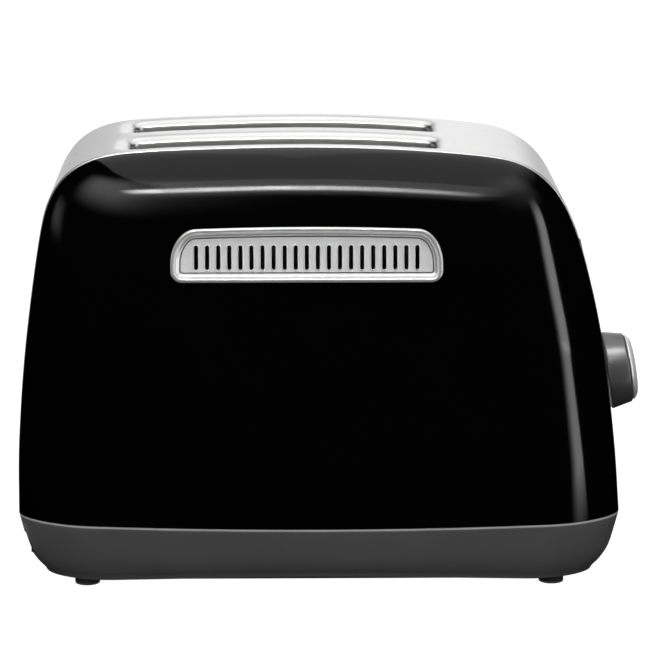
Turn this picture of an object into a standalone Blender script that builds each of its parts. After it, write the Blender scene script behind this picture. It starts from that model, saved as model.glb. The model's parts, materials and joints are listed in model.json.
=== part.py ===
"""Two-slot toaster: enamelled side shells, a brushed steel band, a moulded base and the works inside.

Metres, +Z up. +X points to the lever end and the photographed long side faces -Y. The floor is at Z 0.
"""

import math

import bmesh
import bpy
from mathutils import Matrix, Vector

# Body form
BODY_LENGTH = 0.285
BODY_DEPTH = 0.172
BODY_TOP = 0.207
SKIRT_TOP = 0.032
SIDE_BOW = 0.0128
SHELL_WALL = 0.001
GAP = 0.0003
OVERRUN = 0.004

# Length, worked inwards from the body's ends
LEFT_END_SPACE = 0.0445
LEVER_END_SPACE = 0.0745
SLOT_END_SPACE = 0.021
SLOT_SHIFT = 0.0015
CHASSIS_LEFT_X = LEFT_END_SPACE - BODY_LENGTH / 2
CHASSIS_RIGHT_X = BODY_LENGTH / 2 - LEVER_END_SPACE
SLOT_LENGTH = CHASSIS_RIGHT_X - CHASSIS_LEFT_X - SLOT_END_SPACE
SLOT_CENTRE_X = (CHASSIS_LEFT_X + CHASSIS_RIGHT_X) / 2 - SLOT_SHIFT

# Depth, worked inwards from the body's depth
SIDE_SPACE = 0.022
LAYER_SPACE = 0.007
GUARD_MIDDLE_SPACE = 0.0095
SLOT_OUTER_CLEAR = 0.002
SLOT_INNER_CLEAR = 0.0015
FLARE = 0.008
FLARE_MARGIN = 0.001
BAND_OVERHANG = 0.003
CHASSIS_HALF_WIDTH = BODY_DEPTH / 2 - SIDE_SPACE
REFLECTOR_Y = CHASSIS_HALF_WIDTH - LAYER_SPACE
ELEMENT_Y = REFLECTOR_Y - LAYER_SPACE
GUARD_OUTER_Y = ELEMENT_Y - LAYER_SPACE
GUARD_INNER_Y = GUARD_MIDDLE_SPACE
SLOT_OUTER_Y = GUARD_OUTER_Y - SLOT_OUTER_CLEAR
SLOT_INNER_Y = GUARD_INNER_Y + SLOT_INNER_CLEAR
SLOT_WIDTH = SLOT_OUTER_Y - SLOT_INNER_Y
SLOT_PITCH = SLOT_OUTER_Y + SLOT_INNER_Y
FLAT_DEPTH = 2 * (SLOT_OUTER_Y + FLARE + FLARE_MARGIN)
BAND_WIDTH = FLAT_DEPTH + 2 * BAND_OVERHANG

# Heights and leans that follow the arch
ARCH_HEIGHT = BODY_TOP - SKIRT_TOP
END_LEAN_UNIT = BODY_LENGTH / ARCH_HEIGHT
KNOB_HEIGHT_SHARE = 0.3211429
DIAL_HEIGHT_SHARE = 0.6171429
VENT_HEIGHT_SHARE = 0.7342857
BUTTON_HEIGHT_SHARES = (0.1714286, 0.2971429)
KNOB_X_SHARE = 0.98386
LEVER_LEAN_SHARE = 0.0602098
KNOB_TILT_SHARE = 0.0939596
DIAL_TILT_SHARE = 0.145154

# Side arch, as shares of half the length and of the height above the skirt
ARCH_SHARES = (
    (-1.0, 0.0), (-0.995, 0.2), (-0.966, 0.475), (-0.908, 0.79), (-0.862, 0.89),
    (-0.782, 0.953), (-0.64, 0.984), (-0.29, 0.998), (0.05, 1.0), (0.35, 0.989),
    (0.6, 0.968), (0.695, 0.938), (0.765, 0.892), (0.82, 0.82), (0.875, 0.69),
    (0.935, 0.475), (0.98, 0.2), (1.0, 0.0),
)
ARCH_STEPS = 2
SHOULDER_START_SHARE = 0.75
SHOULDER_STEPS = 6
FACE_ROW_SHARES = (0.5, 0.25)

# Bread slots and their funnels
SLOT_CORNER = 0.006
FLARE_DEPTH = 0.004
FUNNEL_DEPTH = 0.013
FUNNEL_WALL = 0.0008
FUNNEL_SPANS = 6
FLARE_STEPS = 4
LIP_STEP = 0.00015

# Vents in the side shells
VENT_CENTRE_X = -0.006
VENT_CENTRE_Z = SKIRT_TOP + VENT_HEIGHT_SHARE * ARCH_HEIGHT
VENT_LENGTH = 0.1254
VENT_HEIGHT = 0.0247
VENT_LEAN = math.radians(8.5)
VENT_FOOT_CORNER = 0.0055
VENT_TOP_SWEEP = 0.012
VENT_TOP_DROP = 0.0165
VENT_CROWN = 0.0009
BEZEL_WIDTH = 0.003
BEZEL_PROUD = 0.0012
BEZEL_DEPTH = 0.0045
GRILLE_SET_BACK = 0.0018
GRILLE_THICKNESS = 0.0008
GRILLE_SLOTS = 21
GRILLE_END_SPACE = 0.0237
GRILLE_PITCH = (VENT_LENGTH - GRILLE_END_SPACE) / (GRILLE_SLOTS - 1)
GRILLE_SLOT_WIDTH = 0.0019
GRILLE_EDGE_SPACE = 0.0135
GRILLE_SLOT_HEIGHT = VENT_HEIGHT - GRILLE_EDGE_SPACE
GRILLE_SLOT_DROP = 0.0009

# Base skirt, feet and crumb tray
SKIRT_SHARES = (
    (1.0, 1.0, 0.0), (0.75, 0.9866, 0.0), (0.47, 0.9687, 0.3), (0.28, 0.9455, 0.65), (0.15, 0.921, 1.0),
)
SKIRT_BOTTOM_SHARE = 0.9127
SKIRT_STEPS = 3
SKIRT_CORNER_STEPS = 12
SKIRT_CLEAR = 0.0028
SKIRT_ARCH = 0.0046
BASE_WALL = 0.003
BASE_FLOOR = 0.009
FOOT_RADIUS = 0.0059
FOOT_HEIGHT = 0.0066
FOOT_END_SPACE = 0.0327
FOOT_X = BODY_LENGTH / 2 - FOOT_END_SPACE
FOOT_SET_IN = 0.025
FOOT_Y = BODY_DEPTH / 2 - FOOT_SET_IN
TRAY_END_SPACE = 0.006
TRAY_END_X = CHASSIS_RIGHT_X - TRAY_END_SPACE
TRAY_SIDE_CLEAR = 0.009
TRAY_WIDTH = 2 * (CHASSIS_HALF_WIDTH - TRAY_SIDE_CLEAR)
TRAY_BOTTOM = 0.013
TRAY_WALL = 0.0008
TRAY_LIP = 0.006
TRAY_FRONT_HEIGHT = 0.0095
TRAY_FRONT_THICKNESS = 0.0025
TRAY_FRONT_SPACE = 0.0058
TRAY_FRONT_X = BODY_LENGTH / 2 - TRAY_FRONT_SPACE
NOTCH_LENGTH = 0.036
NOTCH_REACH = 0.0085
NOTCH_DEPTH_X = BODY_LENGTH / 2 - NOTCH_REACH
RAIL_SET_IN = 0.009
RAIL_Y = TRAY_WIDTH / 2 - RAIL_SET_IN
RAIL_WIDTH = 0.004
UNDER_VENT_COUNT = 7
UNDER_VENT_LENGTH = 0.050
UNDER_VENT_WIDTH = 0.005
UNDER_VENT_START = 0.023
UNDER_VENT_END = 0.047
UNDER_VENT_X = CHASSIS_LEFT_X + UNDER_VENT_START
UNDER_VENT_PITCH = (CHASSIS_RIGHT_X - UNDER_VENT_END - UNDER_VENT_X) / (UNDER_VENT_COUNT - 1)

# Chassis and toasting chamber
SHEET = 0.001
CHASSIS_TOP_SPACE = 0.019
CHASSIS_TOP = BODY_TOP - CHASSIS_TOP_SPACE
CHASSIS_LEG = 0.005
TRAY_TUNNEL_TOP = 0.021
TAB_LENGTH = 0.010
TAB_WIDTH = 0.011
REFLECTOR_BOTTOM = 0.024
ELEMENT_THICKNESS = 0.0012
ELEMENT_BOTTOM = 0.034
ELEMENT_TOP_SPACE = 0.033
ELEMENT_TOP = BODY_TOP - ELEMENT_TOP_SPACE
GUARD_THICKNESS = 0.0012
GUARD_BARS = 9
GUARD_BAR_WIDTH = 0.003
GUARD_BOTTOM = 0.030
GUARD_TOP_SPACE = 0.014
GUARD_TOP = BODY_TOP - GUARD_TOP_SPACE

# Lever, carriage and guides
LEVER_LOW_SPACE = 0.0112
LEVER_LEAN = math.atan(LEVER_LEAN_SHARE * END_LEAN_UNIT)
KNOB_TILT = math.atan(KNOB_TILT_SHARE * END_LEAN_UNIT)
KNOB_X = KNOB_X_SHARE * BODY_LENGTH / 2
KNOB_Z = SKIRT_TOP + KNOB_HEIGHT_SHARE * ARCH_HEIGHT
LEVER_TRAVEL = KNOB_Z - SKIRT_TOP - LEVER_LOW_SPACE
KNOB_RADIUS = 0.0188
KNOB_FRONT_RADIUS = 0.0168
KNOB_LENGTH = 0.0108
KNOB_BACK_EDGE = 0.001
KNOB_RIM = 0.0006
CAP_SET_IN = 0.001
CAP_RADIUS = KNOB_FRONT_RADIUS - CAP_SET_IN
CAP_HEIGHT = 0.0034
CAP_SHARES = (
    (1.0, 0.0), (0.985, 0.09), (0.92, 0.3), (0.83, 0.6), (0.76, 0.8), (0.66, 0.89), (0.4, 0.97), (0.15, 1.0),
)
KNOB_SIDES = 40
ARM_THICKNESS = 0.003
ARM_HEIGHT = 0.008
ARM_TIP_SPACE = 0.0185
ARM_TIP_X = CHASSIS_RIGHT_X + ARM_TIP_SPACE
ARM_SEAT = 0.0045
SLIDER_END_SPACE = 0.0235
SLIDER_X = BODY_LENGTH / 2 - SLIDER_END_SPACE
SLIDER_SIZE = 0.010
SLIDER_HEIGHT = 0.014
LEVER_ROD_RADIUS = 0.002
LEVER_SLOT_WIDTH = 0.006
LEVER_SLOT_MARGIN = 0.002
RACK_HEIGHT = 0.007
RACK_THICKNESS = 0.003
RACK_TONGUE = 0.004
CARRIAGE_PLATE_SPACE = 0.0032
CARRIAGE_PLATE_X = CHASSIS_RIGHT_X + CARRIAGE_PLATE_SPACE
CARRIAGE_PLATE_THICKNESS = 0.0015
CARRIAGE_PLATE_HALF_WIDTH = 0.034
CARRIAGE_PLATE_HEIGHT = 0.020
GUIDE_ROD_SPACE = 0.0115
GUIDE_ROD_X = CHASSIS_RIGHT_X + GUIDE_ROD_SPACE
GUIDE_ROD_RADIUS = 0.0025
GUIDE_ROD_RISE = 0.0318
GUIDE_ROD_TOP = KNOB_Z + GUIDE_ROD_RISE
ROD_BOSS_RADIUS = 0.005
ROD_BOSS_TOP = 0.014
SLEEVE_RADIUS = 0.0045
SLEEVE_HEIGHT = 0.016
LUG_LENGTH = 0.009
LUG_HALF_WIDTH = 0.0045
LUG_HEIGHT = 0.014
LUG_CLEAR = 0.001
RUNNING_CLEARANCE = 0.0004
SPRING_WIRE_RADIUS = 0.0006
SPRING_RADIUS = 0.0042
SPRING_TURNS = 8
SPRING_POINTS_PER_TURN = 10

# Control end
BRACKET_END_SPACE = 0.042
BRACKET_X = BODY_LENGTH / 2 - BRACKET_END_SPACE
BRACKET_SIDE_SPACE = 0.007
BRACKET_HALF_WIDTH = BAND_WIDTH / 2 - BRACKET_SIDE_SPACE
BRACKET_TOP_SPACE = 0.045
BRACKET_TOP = BODY_TOP - BRACKET_TOP_SPACE
BRACKET_WINDOW_HALF_WIDTH = 0.008
BRACKET_BRIDGE_TOP = 0.026
EAR_RISE = 0.0138
EAR_Z = KNOB_Z + EAR_RISE
EAR_WIDTH = 0.012
EAR_THICKNESS = 0.0015
BOARD_THICKNESS = 0.0016
BOARD_BOTTOM = 0.042
BOARD_MARGIN = 0.002
BOARD_TOP_SPACE = 0.008
BOARD_TOP = BRACKET_TOP - BOARD_TOP_SPACE
BOARD_HALF_WIDTH = BRACKET_HALF_WIDTH - BOARD_MARGIN
BUTTON_SHIFT = 0.0019
BUTTON_Y = (KNOB_RADIUS + BAND_WIDTH / 2) / 2 - BUTTON_SHIFT
BUTTON_Z = [SKIRT_TOP + share * ARCH_HEIGHT for share in BUTTON_HEIGHT_SHARES]
BUTTON_RADIUS = 0.006
BUTTON_PROUD = 0.0006
BUTTON_CAP_LENGTH = 0.006
BUTTON_STEM_RADIUS = 0.0018
BUTTON_TRAVEL = 0.0015
BUTTON_CLEARANCE = 0.0004
BUTTON_SIDES = 20
SWITCH_SIZE = 0.0062
SWITCH_HEIGHT = 0.004
DIAL_Z = SKIRT_TOP + DIAL_HEIGHT_SHARE * ARCH_HEIGHT
DIAL_TILT = math.atan(DIAL_TILT_SHARE * END_LEAN_UNIT)
POINTER_WIDTH = 0.0026
POINTER_PROUD = 0.0006
DIAL_RADIUS = 0.015
DIAL_THICKNESS = 0.0028
DIAL_SINK = 0.0014
DIAL_SHAFT_RADIUS = 0.003
SELECTOR_SIZE = 0.016
SELECTOR_DEPTH = 0.007
MAGNET_WIDTH = 0.011
MAGNET_Y = -0.0145
MAGNET_END_SPACE = 0.052
MAGNET_X = BODY_LENGTH / 2 - MAGNET_END_SPACE
COIL_WALL = 0.0025
COIL_BOTTOM = 0.013
COIL_HEIGHT = 0.013
ARMATURE_THICKNESS = 0.0015

# Mains entry and fasteners
TERMINAL_END_SPACE = 0.0305
TERMINAL_X = BODY_LENGTH / 2 - TERMINAL_END_SPACE
TERMINAL_SET_IN = 0.040
TERMINAL_Y = BODY_DEPTH / 2 - TERMINAL_SET_IN
TERMINAL_LENGTH = 0.018
TERMINAL_WIDTH = 0.010
TERMINAL_HEIGHT = 0.011
TERMINAL_WELLS = 3
GLAND_END_SPACE = 0.0445
GLAND_X = BODY_LENGTH / 2 - GLAND_END_SPACE
GLAND_Z = 0.0175
GLAND_RADIUS = 0.0058
GLAND_BORE = 0.0036
GLAND_LENGTH = 0.012
GLAND_SET_IN = 0.0175
GLAND_INNER_Y = BODY_DEPTH / 2 - GLAND_SET_IN
SCREW_RADIUS = 0.0015
SCREW_HEAD_RADIUS = 0.003
SCREW_HEAD_HEIGHT = 0.002
SCREW_RECESS_TOP = 0.0068
SHARP_ANGLE = math.radians(35)


def clear_scene():
    for thing in list(bpy.data.objects):
        bpy.data.objects.remove(thing, do_unlink=True)


def make_collection(name):
    collection = bpy.data.collections.new(name)
    bpy.context.scene.collection.children.link(collection)
    return collection


def make_material(name, colour, roughness, metallic=0.0):
    material = bpy.data.materials.new(name)
    material.use_nodes = True
    shader = material.node_tree.nodes["Principled BSDF"]
    shader.inputs["Base Color"].default_value = (*colour, 1.0)
    shader.inputs["Roughness"].default_value = roughness
    shader.inputs["Metallic"].default_value = metallic
    return material


def smooth_line(points, steps):
    """Points along a Catmull-Rom curve through the given points."""
    guides = [Vector(point) for point in points]
    guides = [2 * guides[0] - guides[1], *guides, 2 * guides[-1] - guides[-2]]
    line = []
    for before, start, end, after in zip(guides, guides[1:], guides[2:], guides[3:]):
        for step in range(steps):
            t = step / steps
            bend = 2 * before - 5 * start + 4 * end - after
            twist = 3 * start - before - 3 * end + after
            line.append((2 * start + (end - before) * t + bend * t**2 + twist * t**3) / 2)
    return [*line, guides[-2]]


def arch_outline():
    """The body's full-size side outline, left foot over the top to the right foot."""
    rise = BODY_TOP - SKIRT_TOP
    line = smooth_line(ARCH_SHARES, ARCH_STEPS)
    return [(point.x * BODY_LENGTH / 2, SKIRT_TOP + point.y * rise) for point in line]


def arch_height(x):
    """The height of the body's top at x."""
    line = [point for point in ARCH if point[1] > (BODY_TOP + SKIRT_TOP) / 2]
    for (x0, z0), (x1, z1) in zip(line, line[1:]):
        if x0 <= x <= x1:
            return z0 + (z1 - z0) * (x - x0) / (x1 - x0)
    return line[0][1]


def end_wall_x(z):
    """The lever end's outer surface at height z, on the flat middle stretch."""
    line = [point for point in ARCH if point[0] > 0]
    for (x0, z0), (x1, z1) in zip(line, line[1:]):
        if z1 <= z <= z0:
            return x0 + (x1 - x0) * (z0 - z) / (z0 - z1)
    return BODY_LENGTH / 2


def side_depth(share):
    """How far the side stands from the middle plane where the arch is scaled to this share."""
    start = SHOULDER_START_SHARE
    face = BODY_DEPTH / 2 - SIDE_BOW * share**2
    if share <= start:
        return face
    turn = math.sqrt(max(0.0, 1 - ((share - start) / (1 - start)) ** 2))
    return FLAT_DEPTH / 2 + (face - FLAT_DEPTH / 2) * turn


def shoulder_shares(steps=SHOULDER_STEPS):
    """Shares from the full arch down to the start of the face, evenly turned."""
    start = SHOULDER_START_SHARE
    turns = [math.pi / 2 * step / steps for step in range(steps + 1)]
    return [start + (1 - start) * math.cos(turn) for turn in turns]


def share_at_depth(depth):
    """The share whose side_depth is depth, on the shoulder."""
    low, high = SHOULDER_START_SHARE, 1.0
    for _ in range(50):
        middle = (low + high) / 2
        low, high = (middle, high) if side_depth(middle) > depth else (low, middle)
    return (low + high) / 2


def side_rows(seam):
    """(share, depth) rows from the seam to the middle of the face."""
    rows = [(share_at_depth(seam), seam)]
    rows += [(share, side_depth(share)) for share in shoulder_shares() if side_depth(share) > seam + GAP]
    return rows + [(share, side_depth(share)) for share in FACE_ROW_SHARES]


def mesh_object(name, build, material, collection, matrix=None):
    """A new object whose mesh is filled by build(bm)."""
    mesh = bpy.data.meshes.new(name)
    bm = bmesh.new()
    build(bm)
    bmesh.ops.recalc_face_normals(bm, faces=bm.faces)
    bm.to_mesh(mesh)
    bm.free()
    if matrix is not None:
        mesh.transform(matrix)
    thing = bpy.data.objects.new(name, mesh)
    mesh.materials.append(material)
    collection.objects.link(thing)
    if collection is CUTTERS:
        thing.hide_render = True
        thing.display_type = "WIRE"
    return thing


def add_rings(bm, rings, hoop=False):
    """Faces between rings of equal length, with end caps or, as a hoop, from the last ring to the first."""
    rows = [[bm.verts.new(point) for point in ring] for ring in rings]
    count = len(rows[0])
    for lower, upper in zip(rows, rows[1:] + rows[: int(hoop)]):
        for index in range(count):
            after = (index + 1) % count
            bm.faces.new((lower[index], lower[after], upper[after], upper[index]))
    if not hoop:
        bm.faces.new(rows[0])
        bm.faces.new(rows[-1])


def loft(name, rings, material, collection, matrix=None, hoop=False):
    return mesh_object(name, lambda bm: add_rings(bm, rings, hoop), material, collection, matrix)


def box(name, low, high, material, collection, matrix=None):
    """A box between two corners."""
    low, high = Vector(low), Vector(high)
    size = high - low

    def build(bm):
        bmesh.ops.create_cube(bm, size=1)
        bm.transform(Matrix.Translation((low + high) / 2) @ Matrix.Diagonal((*size, 1)))

    return mesh_object(name, build, material, collection, matrix)


def add_cylinder(bm, radius, low, high, sides, top_radius=None):
    """A cylinder or cone along Z from low to high."""
    top = radius if top_radius is None else top_radius
    middle = Matrix.Translation((0, 0, (low + high) / 2))
    bmesh.ops.create_cone(
        bm, cap_ends=True, segments=sides, radius1=radius, radius2=top, depth=high - low, matrix=middle
    )


def cylinder(name, radius, low, high, sides, material, collection, matrix=None):
    return mesh_object(
        name, lambda bm: add_cylinder(bm, radius, low, high, sides), material, collection, matrix
    )


def turned(name, profile, sides, material, collection, matrix):
    """A solid of revolution about local Z. The profile runs from the axis at the top to the axis below."""
    rings = [
        [(r * math.cos(a), r * math.sin(a), z) for a in (2 * math.pi * i / sides for i in range(sides))]
        for r, z in profile
    ]
    return loft(name, rings, material, collection, matrix)


def boolean(thing, other, operation):
    modifier = thing.modifiers.new(operation.title() + " " + other.name, "BOOLEAN")
    modifier.operation = operation
    modifier.object = other
    modifier.solver = "EXACT"


def cut(thing, other):
    boolean(thing, other, "DIFFERENCE")


def join(thing, other):
    boolean(thing, other, "UNION")


def plate(name, outlines, thickness, material, collection, matrix):
    """A flat plate from an outline and its holes, centred on its own plane."""
    curve = bpy.data.curves.new(name, "CURVE")
    curve.dimensions = "2D"
    curve.fill_mode = "BOTH"
    curve.extrude = thickness / 2
    for outline in outlines:
        spline = curve.splines.new("POLY")
        spline.points.add(len(outline) - 1)
        for point, (x, y) in zip(spline.points, outline):
            point.co = (x, y, 0, 1)
        spline.use_cyclic_u = True
    curve.materials.append(material)
    thing = bpy.data.objects.new(name, curve)
    collection.objects.link(thing)
    thing.matrix_world = matrix
    return thing


def to_mesh(thing):
    """Turns a curve object into a mesh object that can be cut or can cut."""
    name, matrix, owner = thing.name, thing.matrix_world.copy(), thing.users_collection[0]
    bpy.context.view_layer.update()
    graph = bpy.context.evaluated_depsgraph_get()
    mesh = bpy.data.meshes.new_from_object(thing.evaluated_get(graph))
    bpy.data.objects.remove(thing, do_unlink=True)
    bm = bmesh.new()
    bm.from_mesh(mesh)
    bmesh.ops.remove_doubles(bm, verts=bm.verts, dist=GAP / 10)
    bmesh.ops.recalc_face_normals(bm, faces=bm.faces)
    bm.to_mesh(mesh)
    bm.free()
    made = bpy.data.objects.new(name, mesh)
    made.matrix_world = matrix
    owner.objects.link(made)
    if owner is CUTTERS:
        made.hide_render = True
        made.display_type = "WIRE"
    return made


def arc(centre, radii, start, end, steps):
    """Points on an elliptical arc, angles in degrees."""
    points = []
    for step in range(steps + 1):
        angle = math.radians(start + (end - start) * step / steps)
        points.append((centre[0] + radii[0] * math.cos(angle), centre[1] + radii[1] * math.sin(angle)))
    return points


def round_rectangle(centre, half_length, half_width, corner, steps, spans=1):
    """A rounded rectangle, counter-clockwise, with its long sides in equal spans."""
    radius = min(corner, half_length, half_width)
    across, up = half_length - radius, half_width - radius
    points = []
    for side_x, side_y, start in ((1, 1, 0), (-1, 1, 90), (-1, -1, 180), (1, -1, 270)):
        middle = (centre[0] + side_x * across, centre[1] + side_y * up)
        points += arc(middle, (radius, radius), start, start + 90, steps)
        if start in (0, 180):
            along = [middle[0] - side_x * 2 * across * span / spans for span in range(1, spans)]
            points += [(x, points[-1][1]) for x in along]
    return points


def rectangle(low, high):
    return [(low[0], low[1]), (high[0], low[1]), (high[0], high[1]), (low[0], high[1])]


def turn_to_x(tilt=0.0):
    """Rotation that lays local Z along +X, tilted upwards."""
    return Matrix.Rotation(math.pi / 2 - tilt, 4, "Y")


def upright_plate_matrix(x):
    """Lays a plate drawn in (Y, Z) across the body at x."""
    return Matrix(((0, 0, 1, x), (1, 0, 0, 0), (0, 1, 0, 0), (0, 0, 0, 1)))


def long_plate_matrix(y):
    """Lays a plate drawn in (X, Z) along the body at y."""
    return Matrix.Translation((0, y, 0)) @ Matrix.Rotation(math.pi / 2, 4, "X")


def arch_sheet(name, rows, side, material):
    """A thin sheet over the arch from (share, signed depth) rows, the last one filled if side is set."""

    def build(bm):
        rings = []
        for share, depth in rows:
            ring = [(x * share, depth, SKIRT_TOP + GAP + (z - SKIRT_TOP) * share) for x, z in ARCH]
            rings.append([bm.verts.new(point) for point in ring])
        for outer, inner in zip(rings, rings[1:]):
            for index in range(len(ARCH) - 1):
                bm.faces.new((outer[index], outer[index + 1], inner[index + 1], inner[index]))
        if side:
            bm.faces.new(rings[-1])

    thing = mesh_object(name, build, material, TOASTER)
    normals_up = sum(face.normal.z * face.area for face in thing.data.polygons)
    if normals_up < 0:
        thing.data.flip_normals()
    wall = thing.modifiers.new("Sheet thickness", "SOLIDIFY")
    wall.thickness = SHELL_WALL
    wall.offset = -1
    wall.use_even_offset = True
    return thing


def vent_outline(inset):
    """The vent's outline: small lower corners, long swept upper corners and a slightly crowned top."""
    half_length, half_height = VENT_LENGTH / 2 - inset, VENT_HEIGHT / 2 - inset
    foot = VENT_FOOT_CORNER - inset
    sweep, drop = VENT_TOP_SWEEP - inset, VENT_TOP_DROP - inset
    right = arc((half_length - foot, foot - half_height), (foot, foot), -90, 0, 4)
    right += arc((half_length - sweep, half_height - drop), (sweep, drop), 0, 90, 7)
    left = [(-x, y) for x, y in reversed(right)]
    return [*right, (0, half_height + VENT_CROWN), *left]


def vent_matrix(side):
    share = (VENT_CENTRE_Z - SKIRT_TOP) / (BODY_TOP - SKIRT_TOP)
    place = Matrix.Translation((VENT_CENTRE_X, side * side_depth(share), VENT_CENTRE_Z))
    half_turn = Matrix.Rotation(math.pi if side > 0 else 0, 4, "Z")
    return place @ half_turn @ Matrix.Rotation(math.pi / 2 - VENT_LEAN, 4, "X")


def grille_slot(index):
    x = (index - (GRILLE_SLOTS - 1) / 2) * GRILLE_PITCH
    half_width = GRILLE_SLOT_WIDTH / 2
    return round_rectangle((x, -GRILLE_SLOT_DROP), half_width, GRILLE_SLOT_HEIGHT / 2, half_width, 2)


def make_side(label, side):
    """One enamelled side shell with its chrome vent frame and slotted plate."""
    rows = [(share, side * depth) for share, depth in side_rows(BAND_WIDTH / 2 + GAP / 2)]
    shell = arch_sheet(label + "_shell", rows, side, ENAMEL)
    place = vent_matrix(side)
    opening = plate(label + "_vent_cut", [vent_outline(-GAP)], 6 * OVERRUN, ENAMEL, CUTTERS, place)
    cut(shell, to_mesh(opening))
    middle = place @ Matrix.Translation((0, 0, BEZEL_PROUD - BEZEL_DEPTH / 2))
    outlines = [vent_outline(0), vent_outline(BEZEL_WIDTH)]
    plate(label + "_vent_bezel", outlines, BEZEL_DEPTH, CHROME, TOASTER, middle)
    middle = place @ Matrix.Translation((0, 0, BEZEL_PROUD - GRILLE_SET_BACK - GRILLE_THICKNESS / 2))
    outlines = [vent_outline(BEZEL_WIDTH + GAP), *(grille_slot(index) for index in range(GRILLE_SLOTS))]
    plate(label + "_vent_grille", outlines, GRILLE_THICKNESS, SATIN_STEEL, TOASTER, middle)


def funnel_ring(side, outset, depth):
    """A ring of a slot's funnel, so far below the arched top."""
    centre = (SLOT_CENTRE_X, side * SLOT_PITCH / 2)
    half_length, half_width = SLOT_LENGTH / 2 + outset, SLOT_WIDTH / 2 + outset
    ring = round_rectangle(centre, half_length, half_width, SLOT_CORNER + outset, 3, FUNNEL_SPANS)
    return [(x, y, arch_height(x) - depth) for x, y in ring]


def level_ring(side, outset, z):
    return [(x, y, z) for x, y, _ in funnel_ring(side, outset, 0)]


def flare(step, steps):
    """(outset, depth) on the rolled lip, from the top face down to the throat."""
    turn = math.pi / 2 * step / steps
    return FLARE * (1 - math.sin(turn)), FLARE_DEPTH * (1 - math.cos(turn))


def make_band():
    """The steel band over the top and down both ends, with its two funnels."""
    edge = BAND_WIDTH / 2 - GAP / 2
    share = share_at_depth(edge)
    rows = [(share, -edge), (1, -FLAT_DEPTH / 2), (1, FLAT_DEPTH / 2), (share, edge)]
    band = arch_sheet("top_band", rows, 0, BRUSHED_STEEL)
    lips = [flare(step, FLARE_STEPS) for step in range(FLARE_STEPS + 1)]
    throat = BODY_TOP - FUNNEL_DEPTH
    for side, label in ((-1, "near"), (1, "far")):
        mouth = FLARE + FUNNEL_WALL / 2
        opening = [level_ring(side, mouth, z) for z in (throat, BODY_TOP + OVERRUN)]
        cut(band, loft(label + "_mouth_cut", opening, BRUSHED_STEEL, CUTTERS))
        rings = [funnel_ring(side, outset, depth + LIP_STEP) for outset, depth in lips]
        rings += [level_ring(side, 0, throat), level_ring(side, FUNNEL_WALL, throat)]
        wall = FUNNEL_WALL
        rings += [funnel_ring(side, outset + wall, depth + wall) for outset, depth in lips[::-1]]
        rings.append(funnel_ring(side, FLARE + FUNNEL_WALL, LIP_STEP))
        join(band, loft(label + "_funnel", rings, BRUSHED_STEEL, CUTTERS, None, True))
    half_slot, reach = LEVER_SLOT_WIDTH / 2, ARM_HEIGHT / 2 + LEVER_SLOT_MARGIN
    low = (SLIDER_X, -half_slot, KNOB_Z - CARRIAGE_TRAVEL - reach)
    high = (BODY_LENGTH / 2 + OVERRUN, half_slot, KNOB_Z + reach)
    cut(band, box("lever_slot_cut", low, high, BRUSHED_STEEL, CUTTERS))
    for name, y, z in button_places():
        place = Matrix.Translation((end_wall_x(z), y, z)) @ turn_to_x()
        radius = BUTTON_RADIUS + BUTTON_CLEARANCE
        hole = cylinder(
            name + "_cut", radius, -3 * OVERRUN, 3 * OVERRUN, BUTTON_SIDES, BRUSHED_STEEL, CUTTERS, place
        )
        cut(band, hole)
    radius = DIAL_RADIUS + BUTTON_CLEARANCE
    hole = cylinder(
        "dial_cut", radius, -2 * OVERRUN, 2 * OVERRUN, KNOB_SIDES, BRUSHED_STEEL, CUTTERS, dial_matrix()
    )
    cut(band, hole)


def plan_ring(share, z, arch_weight=0.0, inset=0.0):
    """The body's plan outline scaled to a share, drawn in by inset and lifted in the middle."""
    quarter = [(1.0, FLAT_DEPTH / 2)]
    quarter += [(part, side_depth(part)) for part in shoulder_shares(SKIRT_CORNER_STEPS)[1:]]
    quarter += [(part, side_depth(part)) for part in FACE_ROW_SHARES]
    middle = [(0.0, BODY_DEPTH / 2)]
    along = share * BODY_LENGTH / 2 - inset
    across = share - inset / (BODY_DEPTH / 2)
    points = [(along * part, -across * depth) for part, depth in quarter + middle + quarter[::-1]]
    count = len(quarter)
    near = [(x if index <= count else -x, y) for index, (x, y) in enumerate(points)]
    ring = near + [(-x, -y) for x, y in near]
    half = BODY_LENGTH / 2
    return [(x, y, z + arch_weight * SKIRT_ARCH * (1 - (x / half) ** 2) ** 2) for x, y in ring]


def base_post(name, radius, low, high, x, y):
    return cylinder(name, radius, low, high, BUTTON_SIDES, CHARCOAL, CUTTERS, Matrix.Translation((x, y, 0)))


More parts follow.
